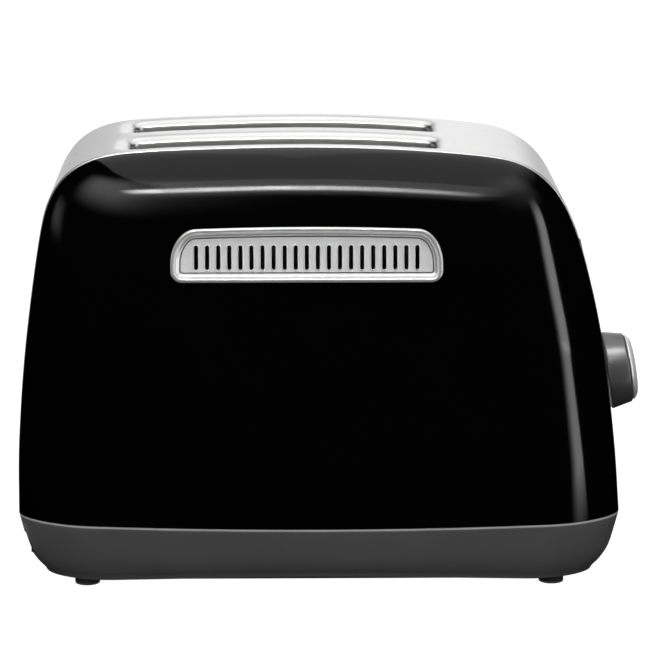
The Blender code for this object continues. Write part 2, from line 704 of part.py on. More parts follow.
def make_base():
    """The moulded base: a deep skirt with an arched lower edge, a floor, rails and bosses."""
    profile = [*SKIRT_SHARES, (SKIRT_CLEAR / SKIRT_TOP, SKIRT_BOTTOM_SHARE, 1.0)]
    line = smooth_line(profile, SKIRT_STEPS)
    rings = [plan_ring(share, SKIRT_TOP * height, weight) for height, share, weight in line]
    base = loft("base", rings, CHARCOAL, TOASTER)
    inner = [plan_ring(SKIRT_SHARES[0][1], SKIRT_TOP + OVERRUN, 0.0, BASE_WALL)]
    inner.append(plan_ring(SKIRT_SHARES[2][1], SKIRT_TOP * SKIRT_SHARES[2][0], 0.0, BASE_WALL))
    inner.append(plan_ring(SKIRT_SHARES[4][1], BASE_FLOOR, 0.0, BASE_WALL))
    cut(base, loft("base_hollow_cut", inner, CHARCOAL, CUTTERS))
    sink = BASE_FLOOR - BASE_WALL / 3
    for side, label in ((-1, "near"), (1, "far")):
        low = (-TRAY_FRONT_X + 5 * BASE_WALL, side * RAIL_Y - RAIL_WIDTH / 2, sink)
        high = (TRAY_END_X, side * RAIL_Y + RAIL_WIDTH / 2, TRAY_BOTTOM - GAP)
        join(base, box(label + "_rail", low, high, CHARCOAL, CUTTERS))
    join(base, base_post("rod_boss", ROD_BOSS_RADIUS, sink, ROD_BOSS_TOP, GUIDE_ROD_X, 0))
    bore = GUIDE_ROD_RADIUS + GAP
    cut(base, base_post("rod_boss_cut", bore, BASE_FLOOR, ROD_BOSS_TOP + OVERRUN, GUIDE_ROD_X, 0))
    socket, low = LEVER_ROD_RADIUS + GAP, lever_rod_foot() - GAP / 2
    cut(base, cylinder("lever_rod_socket_cut", socket, low, 0, BUTTON_SIDES, CHARCOAL, CUTTERS, lever_matrix()))
    half_mouth = TRAY_WIDTH / 2 + GAP
    low = (-BODY_LENGTH / 2 - OVERRUN, -half_mouth, TRAY_BOTTOM - GAP)
    high = (-TRAY_FRONT_X + 4 * BASE_WALL, half_mouth, TRAY_BOTTOM + TRAY_FRONT_HEIGHT + GAP)
    cut(base, box("tray_mouth_cut", low, high, CHARCOAL, CUTTERS))
    half_notch = NOTCH_LENGTH / 2
    low = (-BODY_LENGTH / 2 - OVERRUN, -half_notch, -OVERRUN)
    cut(base, box("finger_notch_cut", low, (-NOTCH_DEPTH_X, half_notch, TRAY_BOTTOM), CHARCOAL, CUTTERS))
    for index in range(UNDER_VENT_COUNT):
        x = UNDER_VENT_X + index * UNDER_VENT_PITCH
        low = (x - UNDER_VENT_WIDTH / 2, -UNDER_VENT_LENGTH / 2, -OVERRUN)
        high = (x + UNDER_VENT_WIDTH / 2, UNDER_VENT_LENGTH / 2, BASE_FLOOR + OVERRUN)
        cut(base, box(f"under_vent_cut_{index + 1}", low, high, CHARCOAL, CUTTERS))
    for name, x, y in foot_places():
        cut(base, base_post(name + "_cut", FOOT_RADIUS + GAP, -OVERRUN, FOOT_HEIGHT + GAP, x, y))
        spot = Matrix.Translation((x, y, 0))
        cylinder(name, FOOT_RADIUS, 0, FOOT_HEIGHT, KNOB_SIDES // 2, RUBBER, TOASTER, spot)
    for name, x, y in screw_places():
        cut(base, base_post(name + "_head_cut", SCREW_HEAD_RADIUS + GAP, -OVERRUN, SCREW_RECESS_TOP, x, y))
        cut(base, base_post(name + "_cut", SCREW_RADIUS + GAP, 0, BASE_FLOOR + OVERRUN, x, y))
        make_screw(name, x, y)
    place = Matrix.Translation((GLAND_X, GLAND_INNER_Y, GLAND_Z)) @ Matrix.Rotation(-math.pi / 2, 4, "X")
    far = GLAND_LENGTH + OVERRUN
    hole = cylinder("gland_cut", GLAND_RADIUS + GAP, -OVERRUN, far, BUTTON_SIDES, CHARCOAL, CUTTERS, place)
    cut(base, hole)
    gland = cylinder("cord_gland", GLAND_RADIUS, 0, GLAND_LENGTH, BUTTON_SIDES, RUBBER, TOASTER, place)
    bore = cylinder("gland_bore_cut", GLAND_BORE, -OVERRUN, far, BUTTON_SIDES, RUBBER, CUTTERS, place)
    cut(gland, bore)


def foot_places():
    corners = ((1, -1), (1, 1), (-1, 1), (-1, -1))
    return [(f"foot_{index + 1}", x * FOOT_X, y * FOOT_Y) for index, (x, y) in enumerate(corners)]


def screw_places():
    """The base screws come up under the chassis tabs."""
    y = CHASSIS_HALF_WIDTH - TAB_WIDTH / 2
    spots = [(x + TAB_LENGTH / 2, side * y) for x in (CHASSIS_LEFT_X, CHASSIS_RIGHT_X) for side in (-1, 1)]
    return [(f"base_screw_{index + 1}", x, y) for index, (x, y) in enumerate(spots)]


def button_places():
    spots = [(side * BUTTON_Y, z) for side in (-1, 1) for z in BUTTON_Z]
    names = ("cancel_button", "defrost_button", "reheat_button", "bagel_button")
    return [(name, y, z) for name, (y, z) in zip(names, spots)]


def make_screw(name, x, y):
    head_top = SCREW_RECESS_TOP - GAP
    tip = BASE_FLOOR + GAP + SHEET + SCREW_RADIUS
    profile = [
        (SCREW_HEAD_RADIUS, head_top - SCREW_HEAD_HEIGHT), (SCREW_HEAD_RADIUS, head_top),
        (SCREW_RADIUS, head_top), (SCREW_RADIUS, tip),
    ]
    turned(name, profile, BUTTON_SIDES // 2, ZINC, TOASTER, Matrix.Translation((x, y, 0)))


def make_chassis_end(name, x):
    """A pressed end plate with a tunnel for the tray, slots for the racks and two screw tabs."""
    half, inner = CHASSIS_HALF_WIDTH, CHASSIS_HALF_WIDTH - CHASSIS_LEG
    foot = BASE_FLOOR + GAP
    outline = [
        (-half, foot), (-inner, foot), (-inner, TRAY_TUNNEL_TOP), (inner, TRAY_TUNNEL_TOP),
        (inner, foot), (half, foot), (half, CHASSIS_TOP), (-half, CHASSIS_TOP),
    ]
    reach = RACK_HEIGHT / 2 + LEVER_SLOT_MARGIN
    slots = []
    for side in (-1, 1):
        middle, width = side * SLOT_PITCH / 2, RACK_THICKNESS / 2 + RUNNING_CLEARANCE
        low = (middle - width, KNOB_Z - CARRIAGE_TRAVEL - reach)
        slots.append(rectangle(low, (middle + width, KNOB_Z + reach)))
    end = to_mesh(plate(name, [outline, *slots], SHEET, ZINC, TOASTER, upright_plate_matrix(x)))
    for side, label in ((-1, "near"), (1, "far")):
        edges = sorted((side * half, side * (half - TAB_WIDTH)))
        low, high = (x, edges[0], foot), (x + TAB_LENGTH, edges[1], foot + SHEET)
        join(end, box(f"{name}_{label}_tab", low, high, ZINC, CUTTERS))
    for screw, screw_x, screw_y in screw_places():
        if x < screw_x < x + TAB_LENGTH:
            hole = base_post(f"{name}_{screw}_cut", SCREW_RADIUS + GAP, 0, TRAY_BOTTOM, screw_x, screw_y)
            cut(end, hole)
    return end


def make_chamber():
    """The two chassis ends and what spans them: reflectors, heater cards and bread guards."""
    make_chassis_end("chassis_end_left", CHASSIS_LEFT_X)
    right = make_chassis_end("chassis_end_right", CHASSIS_RIGHT_X)
    low = (CHASSIS_RIGHT_X, -EAR_WIDTH / 2, GUIDE_ROD_TOP - EAR_THICKNESS)
    high = (GUIDE_ROD_X + EAR_WIDTH / 2, EAR_WIDTH / 2, GUIDE_ROD_TOP)
    join(right, box("rod_ear", low, high, ZINC, CUTTERS))
    cut(right, base_post("rod_ear_cut", GUIDE_ROD_RADIUS + GAP, KNOB_Z, BODY_TOP, GUIDE_ROD_X, 0))
    left, end = CHASSIS_LEFT_X + SHEET / 2 + GAP, CHASSIS_RIGHT_X - SHEET / 2 - GAP
    for side, label in ((-1, "near"), (1, "far")):
        sheet = [rectangle((left, REFLECTOR_BOTTOM), (end, CHASSIS_TOP))]
        plate(label + "_reflector", sheet, SHEET, ZINC, TOASTER, long_plate_matrix(side * REFLECTOR_Y))
        for where, depth in (("outer", GUARD_OUTER_Y), ("inner", GUARD_INNER_Y)):
            name = f"{label}_slot_{where}_guard"
            outlines = [rectangle((left, GUARD_BOTTOM), (end, GUARD_TOP)), *guard_windows(left, end)]
            plate(name, outlines, GUARD_THICKNESS, GUARD_STEEL, TOASTER, long_plate_matrix(side * depth))
    for label, y in (("near", -ELEMENT_Y), ("centre", 0), ("far", ELEMENT_Y)):
        card = [rectangle((left, ELEMENT_BOTTOM), (end, ELEMENT_TOP))]
        plate(label + "_heater_card", card, ELEMENT_THICKNESS, MICA, TOASTER, long_plate_matrix(y))


def guard_windows(left, end):
    """The openings between a guard's bars."""
    pitch = (end - left - GUARD_BAR_WIDTH) / GUARD_BARS
    windows = []
    for index in range(GUARD_BARS):
        start = left + GUARD_BAR_WIDTH + index * pitch
        low = (start, GUARD_BOTTOM + GUARD_BAR_WIDTH)
        windows.append(rectangle(low, (start + pitch - GUARD_BAR_WIDTH, GUARD_TOP - GUARD_BAR_WIDTH)))
    return windows


def lever_matrix(z=0.0):
    """Local Z runs up the leaning lever rod, through the slider's middle."""
    lean = Matrix.Rotation(-LEVER_LEAN, 4, "Y")
    return Matrix.Translation((SLIDER_X, 0, KNOB_Z)) @ lean @ Matrix.Translation((0, 0, z))


def make_lever():
    """The lift knob, its cap and the arm that drives the carriage."""
    place = Matrix.Translation((KNOB_X, 0, KNOB_Z)) @ turn_to_x(KNOB_TILT)
    profile = [
        (KNOB_RADIUS - KNOB_BACK_EDGE, 0), (KNOB_RADIUS, KNOB_BACK_EDGE),
        (KNOB_FRONT_RADIUS, KNOB_LENGTH - KNOB_RIM), (KNOB_FRONT_RADIUS - KNOB_RIM, KNOB_LENGTH),
    ]
    knob = turned("lift_knob", profile, KNOB_SIDES, KNOB_BLACK, TOASTER, place)
    low = (KNOB_X - OVERRUN, -ARM_THICKNESS / 2 - GAP, KNOB_Z - ARM_HEIGHT / 2 - GAP)
    high = (KNOB_X + ARM_SEAT + GAP, ARM_THICKNESS / 2 + GAP, KNOB_Z + ARM_HEIGHT / 2 + GAP)
    cut(knob, box("knob_socket_cut", low, high, KNOB_BLACK, CUTTERS))
    seat = KNOB_LENGTH + GAP
    profile = [(CAP_RADIUS * share, seat + CAP_HEIGHT * height) for share, height in CAP_SHARES]
    cap = turned("lift_knob_cap", profile, KNOB_SIDES, SATIN_STEEL, TOASTER, place)
    half = ARM_THICKNESS / 2
    low = (ARM_TIP_X, -half, KNOB_Z - ARM_HEIGHT / 2)
    high = (KNOB_X + ARM_SEAT, half, KNOB_Z + ARM_HEIGHT / 2)
    arm = box("lever_arm", low, high, ZINC, TOASTER)
    half = SLIDER_SIZE / 2
    low = (SLIDER_X - half, -half, KNOB_Z - SLIDER_HEIGHT / 2)
    join(arm, box("slider_block", low, (SLIDER_X + half, half, KNOB_Z + SLIDER_HEIGHT / 2), ZINC, CUTTERS))
    bore, reach = LEVER_ROD_RADIUS + RUNNING_CLEARANCE, SLIDER_HEIGHT
    cut(arm, cylinder("slider_bore_cut", bore, -reach, reach, BUTTON_SIDES, ZINC, CUTTERS, lever_matrix()))
    return [knob, cap, arm]


def make_carriage():
    """The carriage on its guide rod, the two bread racks and the armature plate."""
    x, half = CARRIAGE_PLATE_X, CARRIAGE_PLATE_HALF_WIDTH
    low = (x, -half, KNOB_Z - CARRIAGE_PLATE_HEIGHT / 2)
    high = (x + CARRIAGE_PLATE_THICKNESS, half, KNOB_Z + CARRIAGE_PLATE_HEIGHT / 2)
    carriage = box("carriage_plate", low, high, ZINC, TOASTER)
    lug_end = ARM_TIP_X + LUG_LENGTH
    low = (x + CARRIAGE_PLATE_THICKNESS / 2, -LUG_HALF_WIDTH, KNOB_Z - LUG_HEIGHT / 2)
    high = (lug_end, LUG_HALF_WIDTH, KNOB_Z + LUG_HEIGHT / 2)
    join(carriage, box("carriage_lug", low, high, ZINC, CUTTERS))
    foot, top = KNOB_Z - SLEEVE_HEIGHT / 2, KNOB_Z + SLEEVE_HEIGHT / 2
    join(carriage, base_post("carriage_sleeve", SLEEVE_RADIUS, foot, top, GUIDE_ROD_X, 0))
    bore = GUIDE_ROD_RADIUS + RUNNING_CLEARANCE
    foot, top = KNOB_Z - SLEEVE_HEIGHT, KNOB_Z + SLEEVE_HEIGHT
    cut(carriage, base_post("sleeve_bore_cut", bore, foot, top, GUIDE_ROD_X, 0))
    half, reach = ARM_THICKNESS / 2 + RUNNING_CLEARANCE, ARM_HEIGHT / 2 + RUNNING_CLEARANCE
    low, high = (ARM_TIP_X - LUG_CLEAR, -half, KNOB_Z - reach), (lug_end + OVERRUN, half, KNOB_Z + reach)
    cut(carriage, box("lug_pocket_cut", low, high, ZINC, CUTTERS))
    pieces = [carriage]
    for side, label in ((-1, "near"), (1, "far")):
        middle, half = side * SLOT_PITCH / 2, RACK_THICKNESS / 2
        low = (CHASSIS_LEFT_X - RACK_TONGUE, middle - half, KNOB_Z - RACK_HEIGHT / 2)
        high = (CARRIAGE_PLATE_X - GAP, middle + half, KNOB_Z + RACK_HEIGHT / 2)
        pieces.append(box(label + "_bread_rack", low, high, GUARD_STEEL, TOASTER))
    bottom = KNOB_Z - LUG_HEIGHT / 2
    near = MAGNET_Y - MAGNET_WIDTH / 2
    low = (MAGNET_X - MAGNET_WIDTH / 2, near, bottom)
    high = (MAGNET_X + MAGNET_WIDTH / 2, -LUG_HALF_WIDTH - GAP, bottom + ARMATURE_THICKNESS)
    pieces.append(box("armature_plate", low, high, ZINC, TOASTER))
    return pieces


def lever_rod_foot():
    """The lower end of the leaning rod along its own axis. Its lowest edge stands just above the floor."""
    rise = LEVER_ROD_RADIUS * math.sin(LEVER_LEAN)
    return (BASE_FLOOR + GAP + rise - KNOB_Z) / math.cos(LEVER_LEAN)


def make_guides():
    """The carriage's upright rod, its lift spring and the lever's leaning rod."""
    foot = BASE_FLOOR + GAP
    place = Matrix.Translation((GUIDE_ROD_X, 0, 0))
    cylinder("guide_rod", GUIDE_ROD_RADIUS, foot, GUIDE_ROD_TOP + SHEET, BUTTON_SIDES, ZINC, TOASTER, place)
    top = (EAR_Z + 2 * EAR_THICKNESS - KNOB_Z) / math.cos(LEVER_LEAN)
    cylinder("lever_rod", LEVER_ROD_RADIUS, lever_rod_foot(), top, BUTTON_SIDES, ZINC, TOASTER, lever_matrix())
    curve = bpy.data.curves.new("lift_spring", "CURVE")
    curve.dimensions = "3D"
    curve.bevel_depth = SPRING_WIRE_RADIUS
    curve.bevel_resolution = 1
    curve.use_fill_caps = True
    curve.materials.append(SPRING_STEEL)
    spline = curve.splines.new("POLY")
    steps = SPRING_TURNS * SPRING_POINTS_PER_TURN
    low = ROD_BOSS_TOP + GAP + SPRING_WIRE_RADIUS
    high = KNOB_Z - SLEEVE_HEIGHT / 2 - GAP - SPRING_WIRE_RADIUS
    spline.points.add(steps)
    for index, point in enumerate(spline.points):
        angle = 2 * math.pi * index / SPRING_POINTS_PER_TURN
        height = low + (high - low) * index / steps
        point.co = (SPRING_RADIUS * math.cos(angle), SPRING_RADIUS * math.sin(angle), height, 1)
    spring = bpy.data.objects.new("lift_spring", curve)
    TOASTER.objects.link(spring)
    spring.location = (GUIDE_ROD_X, 0, 0)


def dial_matrix():
    return Matrix.Translation((end_wall_x(DIAL_Z), 0, DIAL_Z)) @ turn_to_x(DIAL_TILT)


def make_controls():
    """The control bracket, its board, switches, buttons and browning dial."""
    half, window = BRACKET_HALF_WIDTH, BRACKET_WINDOW_HALF_WIDTH
    outline = rectangle((-half, BASE_FLOOR + GAP), (half, BRACKET_TOP))
    opening = rectangle((-window, BRACKET_BRIDGE_TOP), (window, KNOB_Z + SLIDER_HEIGHT / 2))
    matrix = upright_plate_matrix(BRACKET_X)
    bracket = to_mesh(plate("control_bracket", [outline, opening], SHEET, ZINC, TOASTER, matrix))
    for label, z in (("lower", BRACKET_BRIDGE_TOP - EAR_THICKNESS), ("upper", EAR_Z)):
        rod_x = SLIDER_X + (KNOB_Z - z) * math.tan(LEVER_LEAN)
        low = (BRACKET_X, -EAR_WIDTH / 2, z)
        high = (rod_x + EAR_WIDTH / 2, EAR_WIDTH / 2, z + EAR_THICKNESS)
        join(bracket, box(label + "_ear", low, high, ZINC, CUTTERS))
    bore, reach = LEVER_ROD_RADIUS + GAP, KNOB_Z
    cut(bracket, cylinder("ear_bore_cut", bore, -reach, reach, BUTTON_SIDES, ZINC, CUTTERS, lever_matrix()))
    back = BRACKET_X + SHEET / 2 + GAP
    front = back + BOARD_THICKNESS + GAP
    notch, notch_top = window, EAR_Z + EAR_THICKNESS + GAP
    half = BOARD_HALF_WIDTH
    outline = [
        (-half, BOARD_BOTTOM), (-notch, BOARD_BOTTOM), (-notch, notch_top), (notch, notch_top),
        (notch, BOARD_BOTTOM), (half, BOARD_BOTTOM), (half, BOARD_TOP), (-half, BOARD_TOP),
    ]
    place = upright_plate_matrix(back + BOARD_THICKNESS / 2)
    plate("control_board", [outline], BOARD_THICKNESS, BOARD_GREEN, TOASTER, place)
    buttons = []
    half = SWITCH_SIZE / 2
    for name, y, z in button_places():
        low, high = (front, y - half, z - half), (front + SWITCH_HEIGHT, y + half, z + half)
        box(name.replace("button", "switch"), low, high, KNOB_BLACK, TOASTER)
        face = end_wall_x(z) + BUTTON_PROUD
        stem = front + SWITCH_HEIGHT + BUTTON_TRAVEL + GAP - face
        radius, rim = BUTTON_RADIUS, BUTTON_CLEARANCE
        profile = [
            (BUTTON_STEM_RADIUS, stem), (BUTTON_STEM_RADIUS, -BUTTON_CAP_LENGTH),
            (radius, -BUTTON_CAP_LENGTH), (radius, -rim), (radius - rim, 0),
        ]
        place = Matrix.Translation((face, y, z)) @ turn_to_x()
        buttons.append(turned(name, profile, BUTTON_SIDES, KNOB_BLACK, TOASTER, place))
    selector_face = front + SELECTOR_DEPTH
    run = end_wall_x(DIAL_Z) - selector_face
    axis_z = DIAL_Z - run * math.tan(DIAL_TILT)
    half = SELECTOR_SIZE / 2
    low, high = (front, -half, axis_z - half), (selector_face, half, axis_z + half)
    box("browning_selector", low, high, KNOB_BLACK, TOASTER)
    lift, top = -DIAL_SINK, DIAL_THICKNESS - DIAL_SINK
    shaft = (GAP - run + DIAL_SHAFT_RADIUS * math.sin(DIAL_TILT)) / math.cos(DIAL_TILT)
    rim = BUTTON_CLEARANCE
    profile = [
        (DIAL_SHAFT_RADIUS, shaft), (DIAL_SHAFT_RADIUS, lift), (DIAL_RADIUS - rim, lift),
        (DIAL_RADIUS, lift + rim), (DIAL_RADIUS - rim, top - rim), (DIAL_RADIUS - 2 * rim, top),
    ]
    dial = turned("browning_dial", profile, KNOB_SIDES, KNOB_BLACK, TOASTER, dial_matrix())
    half, reach = POINTER_WIDTH / 2, DIAL_RADIUS - 4 * rim
    low, high = (-reach, -half, lift + rim), (reach, half, top + POINTER_PROUD)
    grip = box("dial_pointer", low, high, KNOB_BLACK, CUTTERS, dial_matrix())
    join(dial, grip)
    return buttons, dial


def make_magnet():
    """The magnet that holds the carriage down, and its winding on a bobbin."""
    half = MAGNET_WIDTH / 2
    top = KNOB_Z - LUG_HEIGHT / 2 - CARRIAGE_TRAVEL - GAP
    low = (MAGNET_X - half, MAGNET_Y - half, BASE_FLOOR + GAP)
    high = (MAGNET_X + half, MAGNET_Y + half, top)
    box("hold_magnet", low, high, ZINC, TOASTER)
    inner = half + GAP
    outer = inner + COIL_WALL
    outlines = [round_rectangle((0, 0), outer, outer, COIL_WALL, 3)]
    outlines.append(rectangle((-inner, -inner), (inner, inner)))
    place = Matrix.Translation((MAGNET_X, MAGNET_Y, COIL_BOTTOM + COIL_HEIGHT / 2))
    plate("magnet_winding", outlines, COIL_HEIGHT, COPPER, TOASTER, place)


def make_terminal_block():
    half_length, half_width = TERMINAL_LENGTH / 2, TERMINAL_WIDTH / 2
    foot = BASE_FLOOR + GAP
    low = (TERMINAL_X - half_length, TERMINAL_Y - half_width, foot)
    high = (TERMINAL_X + half_length, TERMINAL_Y + half_width, foot + TERMINAL_HEIGHT)
    block = box("terminal_block", low, high, TERMINAL_IVORY, TOASTER)
    pitch = TERMINAL_LENGTH / TERMINAL_WELLS
    for index in range(TERMINAL_WELLS):
        x = TERMINAL_X + (index - (TERMINAL_WELLS - 1) / 2) * pitch
        name = f"terminal_well_cut_{index + 1}"
        low, top = foot + TERMINAL_HEIGHT / 2, foot + 2 * TERMINAL_HEIGHT
        well = base_post(name, pitch / 3, low, top, x, TERMINAL_Y)
        cut(block, well)


def make_tray():
    """The crumb tray: a shallow pan with a thick front that a finger hooks from below."""
    half, back = TRAY_WIDTH / 2, -TRAY_FRONT_X
    pan = (back, -half, TRAY_BOTTOM), (TRAY_END_X, half, TRAY_BOTTOM + TRAY_LIP)
    tray = box("crumb_tray", *pan, ZINC, TOASTER)
    wall = TRAY_WALL
    low = (back + TRAY_FRONT_THICKNESS, -half + wall, TRAY_BOTTOM + wall)
    high = (TRAY_END_X - wall, half - wall, TRAY_BOTTOM + TRAY_LIP + OVERRUN)
    cut(tray, box("tray_hollow_cut", low, high, ZINC, CUTTERS))
    low = (back, -half, TRAY_BOTTOM + wall)
    high = (back + TRAY_FRONT_THICKNESS, half, TRAY_BOTTOM + TRAY_FRONT_HEIGHT)
    join(tray, box("tray_front", low, high, ZINC, CUTTERS))
    return [tray]


def carry(label, location, things):
    """Parents things to a new empty on their joint's axis, leaving them where they are."""
    empty = bpy.data.objects.new(label, None)
    TOASTER.objects.link(empty)
    empty.location = location
    for thing in things:
        thing.parent = empty
        thing.matrix_parent_inverse = Matrix.Translation(-Vector(location))


def centre_on_origin():
    """Shifts everything along X so that the middle of the overall length is at the origin."""
    cosine, sine = math.cos(KNOB_TILT), math.sin(KNOB_TILT)
    heights = [(KNOB_LENGTH + GAP + CAP_HEIGHT * height, CAP_RADIUS * share) for share, height in CAP_SHARES]
    right = KNOB_X + max(height * cosine + radius * sine for height, radius in heights)
    root = bpy.data.objects.new("toaster", None)
    TOASTER.objects.link(root)
    for thing in [*TOASTER.objects, *CUTTERS.objects]:
        if thing.parent is None and thing is not root:
            thing.parent = root
    root.location = ((BODY_LENGTH / 2 - right) / 2, 0, 0)


def shade_round_pieces():
    for thing in TOASTER.objects:
        if thing.type == "MESH":
            thing.data.shade_smooth()
            thing.data.set_sharp_from_angle(angle=SHARP_ANGLE)


clear_scene()
TOASTER = make_collection("toaster")
CUTTERS = make_collection("cutters")
ENAMEL = make_material("black_enamel", (0.008, 0.008, 0.009), 0.12)
BRUSHED_STEEL = make_material("brushed_steel", (0.75, 0.75, 0.74), 0.32, 1.0)
SATIN_STEEL = make_material("satin_steel", (0.62, 0.62, 0.61), 0.38, 1.0)
CHROME = make_material("chrome", (0.85, 0.85, 0.86), 0.08, 1.0)
CHARCOAL = make_material("charcoal_plastic", (0.055, 0.055, 0.057), 0.5)
KNOB_BLACK = make_material("knob_plastic", (0.02, 0.02, 0.021), 0.35)
RUBBER = make_material("foot_rubber", (0.015, 0.015, 0.015), 0.8)
ZINC = make_material("plated_steel", (0.6, 0.61, 0.62), 0.4, 1.0)
GUARD_STEEL = make_material("guard_steel", (0.45, 0.44, 0.43), 0.45, 1.0)
SPRING_STEEL = make_material("spring_steel", (0.3, 0.3, 0.31), 0.35, 1.0)
MICA = make_material("mica_card", (0.42, 0.33, 0.2), 0.6)
COPPER = make_material("copper_winding", (0.55, 0.22, 0.1), 0.4, 1.0)
BOARD_GREEN = make_material("circuit_board", (0.02, 0.12, 0.05), 0.45)
TERMINAL_IVORY = make_material("terminal_ceramic", (0.7, 0.66, 0.55), 0.5)

ARCH = arch_outline()
CARRIAGE_TRAVEL = LEVER_TRAVEL * math.cos(LEVER_LEAN)
make_side("near", -1)
make_side("far", 1)
make_band()
make_base()
make_chamber()
make_guides()
make_magnet()
make_terminal_block()
carry("lever_slide", (KNOB_X, 0, KNOB_Z), make_lever())
carry("carriage_slide", (GUIDE_ROD_X, 0, KNOB_Z), make_carriage())
carry("tray_slide", (-TRAY_FRONT_X, 0, TRAY_BOTTOM), make_tray())
push_buttons, browning_dial = make_controls()
for push_button, (button_name, button_y, button_z) in zip(push_buttons, button_places()):
    carry(button_name + "_slide", (end_wall_x(button_z), button_y, button_z), [push_button])
carry("dial_turn", (end_wall_x(DIAL_Z), 0, DIAL_Z), [browning_dial])
centre_on_origin()
shade_round_pieces()
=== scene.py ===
import json
import math

import bmesh
import bpy
from mathutils import Matrix, Vector
from mathutils.geometry import delaunay_2d_cdt


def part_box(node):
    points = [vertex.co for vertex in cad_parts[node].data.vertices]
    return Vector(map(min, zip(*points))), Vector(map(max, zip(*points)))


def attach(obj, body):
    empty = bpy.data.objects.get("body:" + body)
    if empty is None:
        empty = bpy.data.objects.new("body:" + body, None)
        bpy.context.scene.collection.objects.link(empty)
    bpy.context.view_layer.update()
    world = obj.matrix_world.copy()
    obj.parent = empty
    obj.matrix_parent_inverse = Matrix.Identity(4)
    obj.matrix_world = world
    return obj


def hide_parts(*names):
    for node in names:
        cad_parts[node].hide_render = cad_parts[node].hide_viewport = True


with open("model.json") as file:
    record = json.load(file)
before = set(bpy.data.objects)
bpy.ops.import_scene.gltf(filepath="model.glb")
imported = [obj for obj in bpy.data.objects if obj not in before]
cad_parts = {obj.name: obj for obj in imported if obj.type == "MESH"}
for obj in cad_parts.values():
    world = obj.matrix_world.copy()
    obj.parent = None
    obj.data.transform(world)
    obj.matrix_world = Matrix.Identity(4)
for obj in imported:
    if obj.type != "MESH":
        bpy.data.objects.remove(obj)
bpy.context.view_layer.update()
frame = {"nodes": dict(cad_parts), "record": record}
baseLow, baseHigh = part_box("base")
bodyX = (baseLow.x + baseHigh.x) / 2  # the body's middle, which the knob's reach moves off zero
print("frame loaded")

body = {
    "length": 0.285,
    "depth": 0.172,
    "top": 0.207,
    "skirtTop": 0.032,
    "flatDepth": 0.100,  # how much of the depth is straight across the top
    "sideBow": 0.0128,
    "shoulderStart": 0.75,
    "seamDepth": 0.053,
    "seamGap": 0.0003,
    "wall": 0.0009,
    "archShares": (
        (-1.0, 0.0), (-0.995, 0.2), (-0.966, 0.475), (-0.908, 0.79), (-0.862, 0.89),
        (-0.782, 0.953), (-0.64, 0.984), (-0.29, 0.998), (0.05, 1.0), (0.35, 0.989),
        (0.6, 0.968), (0.695, 0.938), (0.765, 0.892), (0.82, 0.82), (0.875, 0.69),
        (0.935, 0.475), (0.98, 0.2), (1.0, 0.0),
    ),
    "archPoints": 300,
    "archSoftening": 12,
}


def smoothCurve(points, steps):  # a rounded line through the points
    guides = [Vector(point) for point in points]
    guides = [2 * guides[0] - guides[1], *guides, 2 * guides[-1] - guides[-2]]
    line = []
    for before, start, end, after in zip(guides, guides[1:], guides[2:], guides[3:]):
        for step in range(steps):
            t = step / steps
            bend = 2 * before - 5 * start + 4 * end - after
            twist = 3 * start - before - 3 * end + after
            line.append((2 * start + (end - before) * t + bend * t**2 + twist * t**3) / 2)
    return [*line, guides[-2]]


def evenLine(line, count):  # the same line with evenly spaced points
    lengths = [0.0]
    for before, after in zip(line, line[1:]):
        lengths.append(lengths[-1] + (after - before).length)
    even, place = [], 0
    for index in range(count):
        target = lengths[-1] * index / (count - 1)
        while place < len(line) - 2 and lengths[place + 1] < target:
            place += 1
        share = (target - lengths[place]) / (lengths[place + 1] - lengths[place])
        even.append(line[place].lerp(line[place + 1], min(1.0, share)))
    return even


def makeArch():  # the body's side outline as (x, height above the skirt), left foot to right foot
    rise = body["top"] - body["skirtTop"]
    points = [(x * body["length"] / 2, z * rise) for x, z in body["archShares"]]
    line = evenLine(smoothCurve(points, 16), body["archPoints"])
    for _ in range(body["archSoftening"]):
        middle = [(a + 2 * b + c) / 4 for a, b, c in zip(line, line[1:], line[2:])]
        line = [line[0], *middle, line[-1]]
    return line


arch = makeArch()
archAngles = [math.atan2(point.y, -point.x) for point in arch]  # grows from left foot to right foot


def archAt(place):  # point and slope at a fractional index along the arch
    place = min(max(place, 0.0), len(arch) - 1.000001)
    index = int(place)
    share = place - index
    ahead = arch[min(index + 2, len(arch) - 1)] - arch[index]
    behind = arch[index + 1] - arch[max(index - 1, 0)]
    return arch[index].lerp(arch[index + 1], share), behind.lerp(ahead, share).normalized()


def archPlaceAtX(x):  # place on the top of the arch above x
    low, high = len(arch) * 0.2, len(arch) * 0.8
    for _ in range(40):
        middle = (low + high) / 2
        low, high = (middle, high) if archAt(middle)[0].x < x else (low, middle)
    return (low + high) / 2


def archPlaceAtHeight(z):  # place on the lever end at height z
    low, high = len(arch) * 0.55, len(arch) - 1.0
    for _ in range(40):
        middle = (low + high) / 2
        low, high = (middle, high) if archAt(middle)[0].y > z - body["skirtTop"] else (low, middle)
    return (low + high) / 2


def sideDepth(share):  # distance from the middle plane, and its change with share
    start = body["shoulderStart"]
    half, flat = body["depth"] / 2, body["flatDepth"] / 2
    face, faceSlope = half - body["sideBow"] * share**2, -2 * body["sideBow"] * share
    if share <= start:
        return face, faceSlope
    lean = (share - start) / (1 - start)
    turn = math.sqrt(max(1e-9, 1 - lean**2))
    return flat + (face - flat) * turn, faceSlope * turn - (face - flat) * lean / (turn * (1 - start))


def shareAtDepth(depth):
    low, high = body["shoulderStart"], 1.0
    for _ in range(50):
        middle = (low + high) / 2
        low, high = (middle, high) if sideDepth(middle)[0] > depth else (low, middle)
    return (low + high) / 2


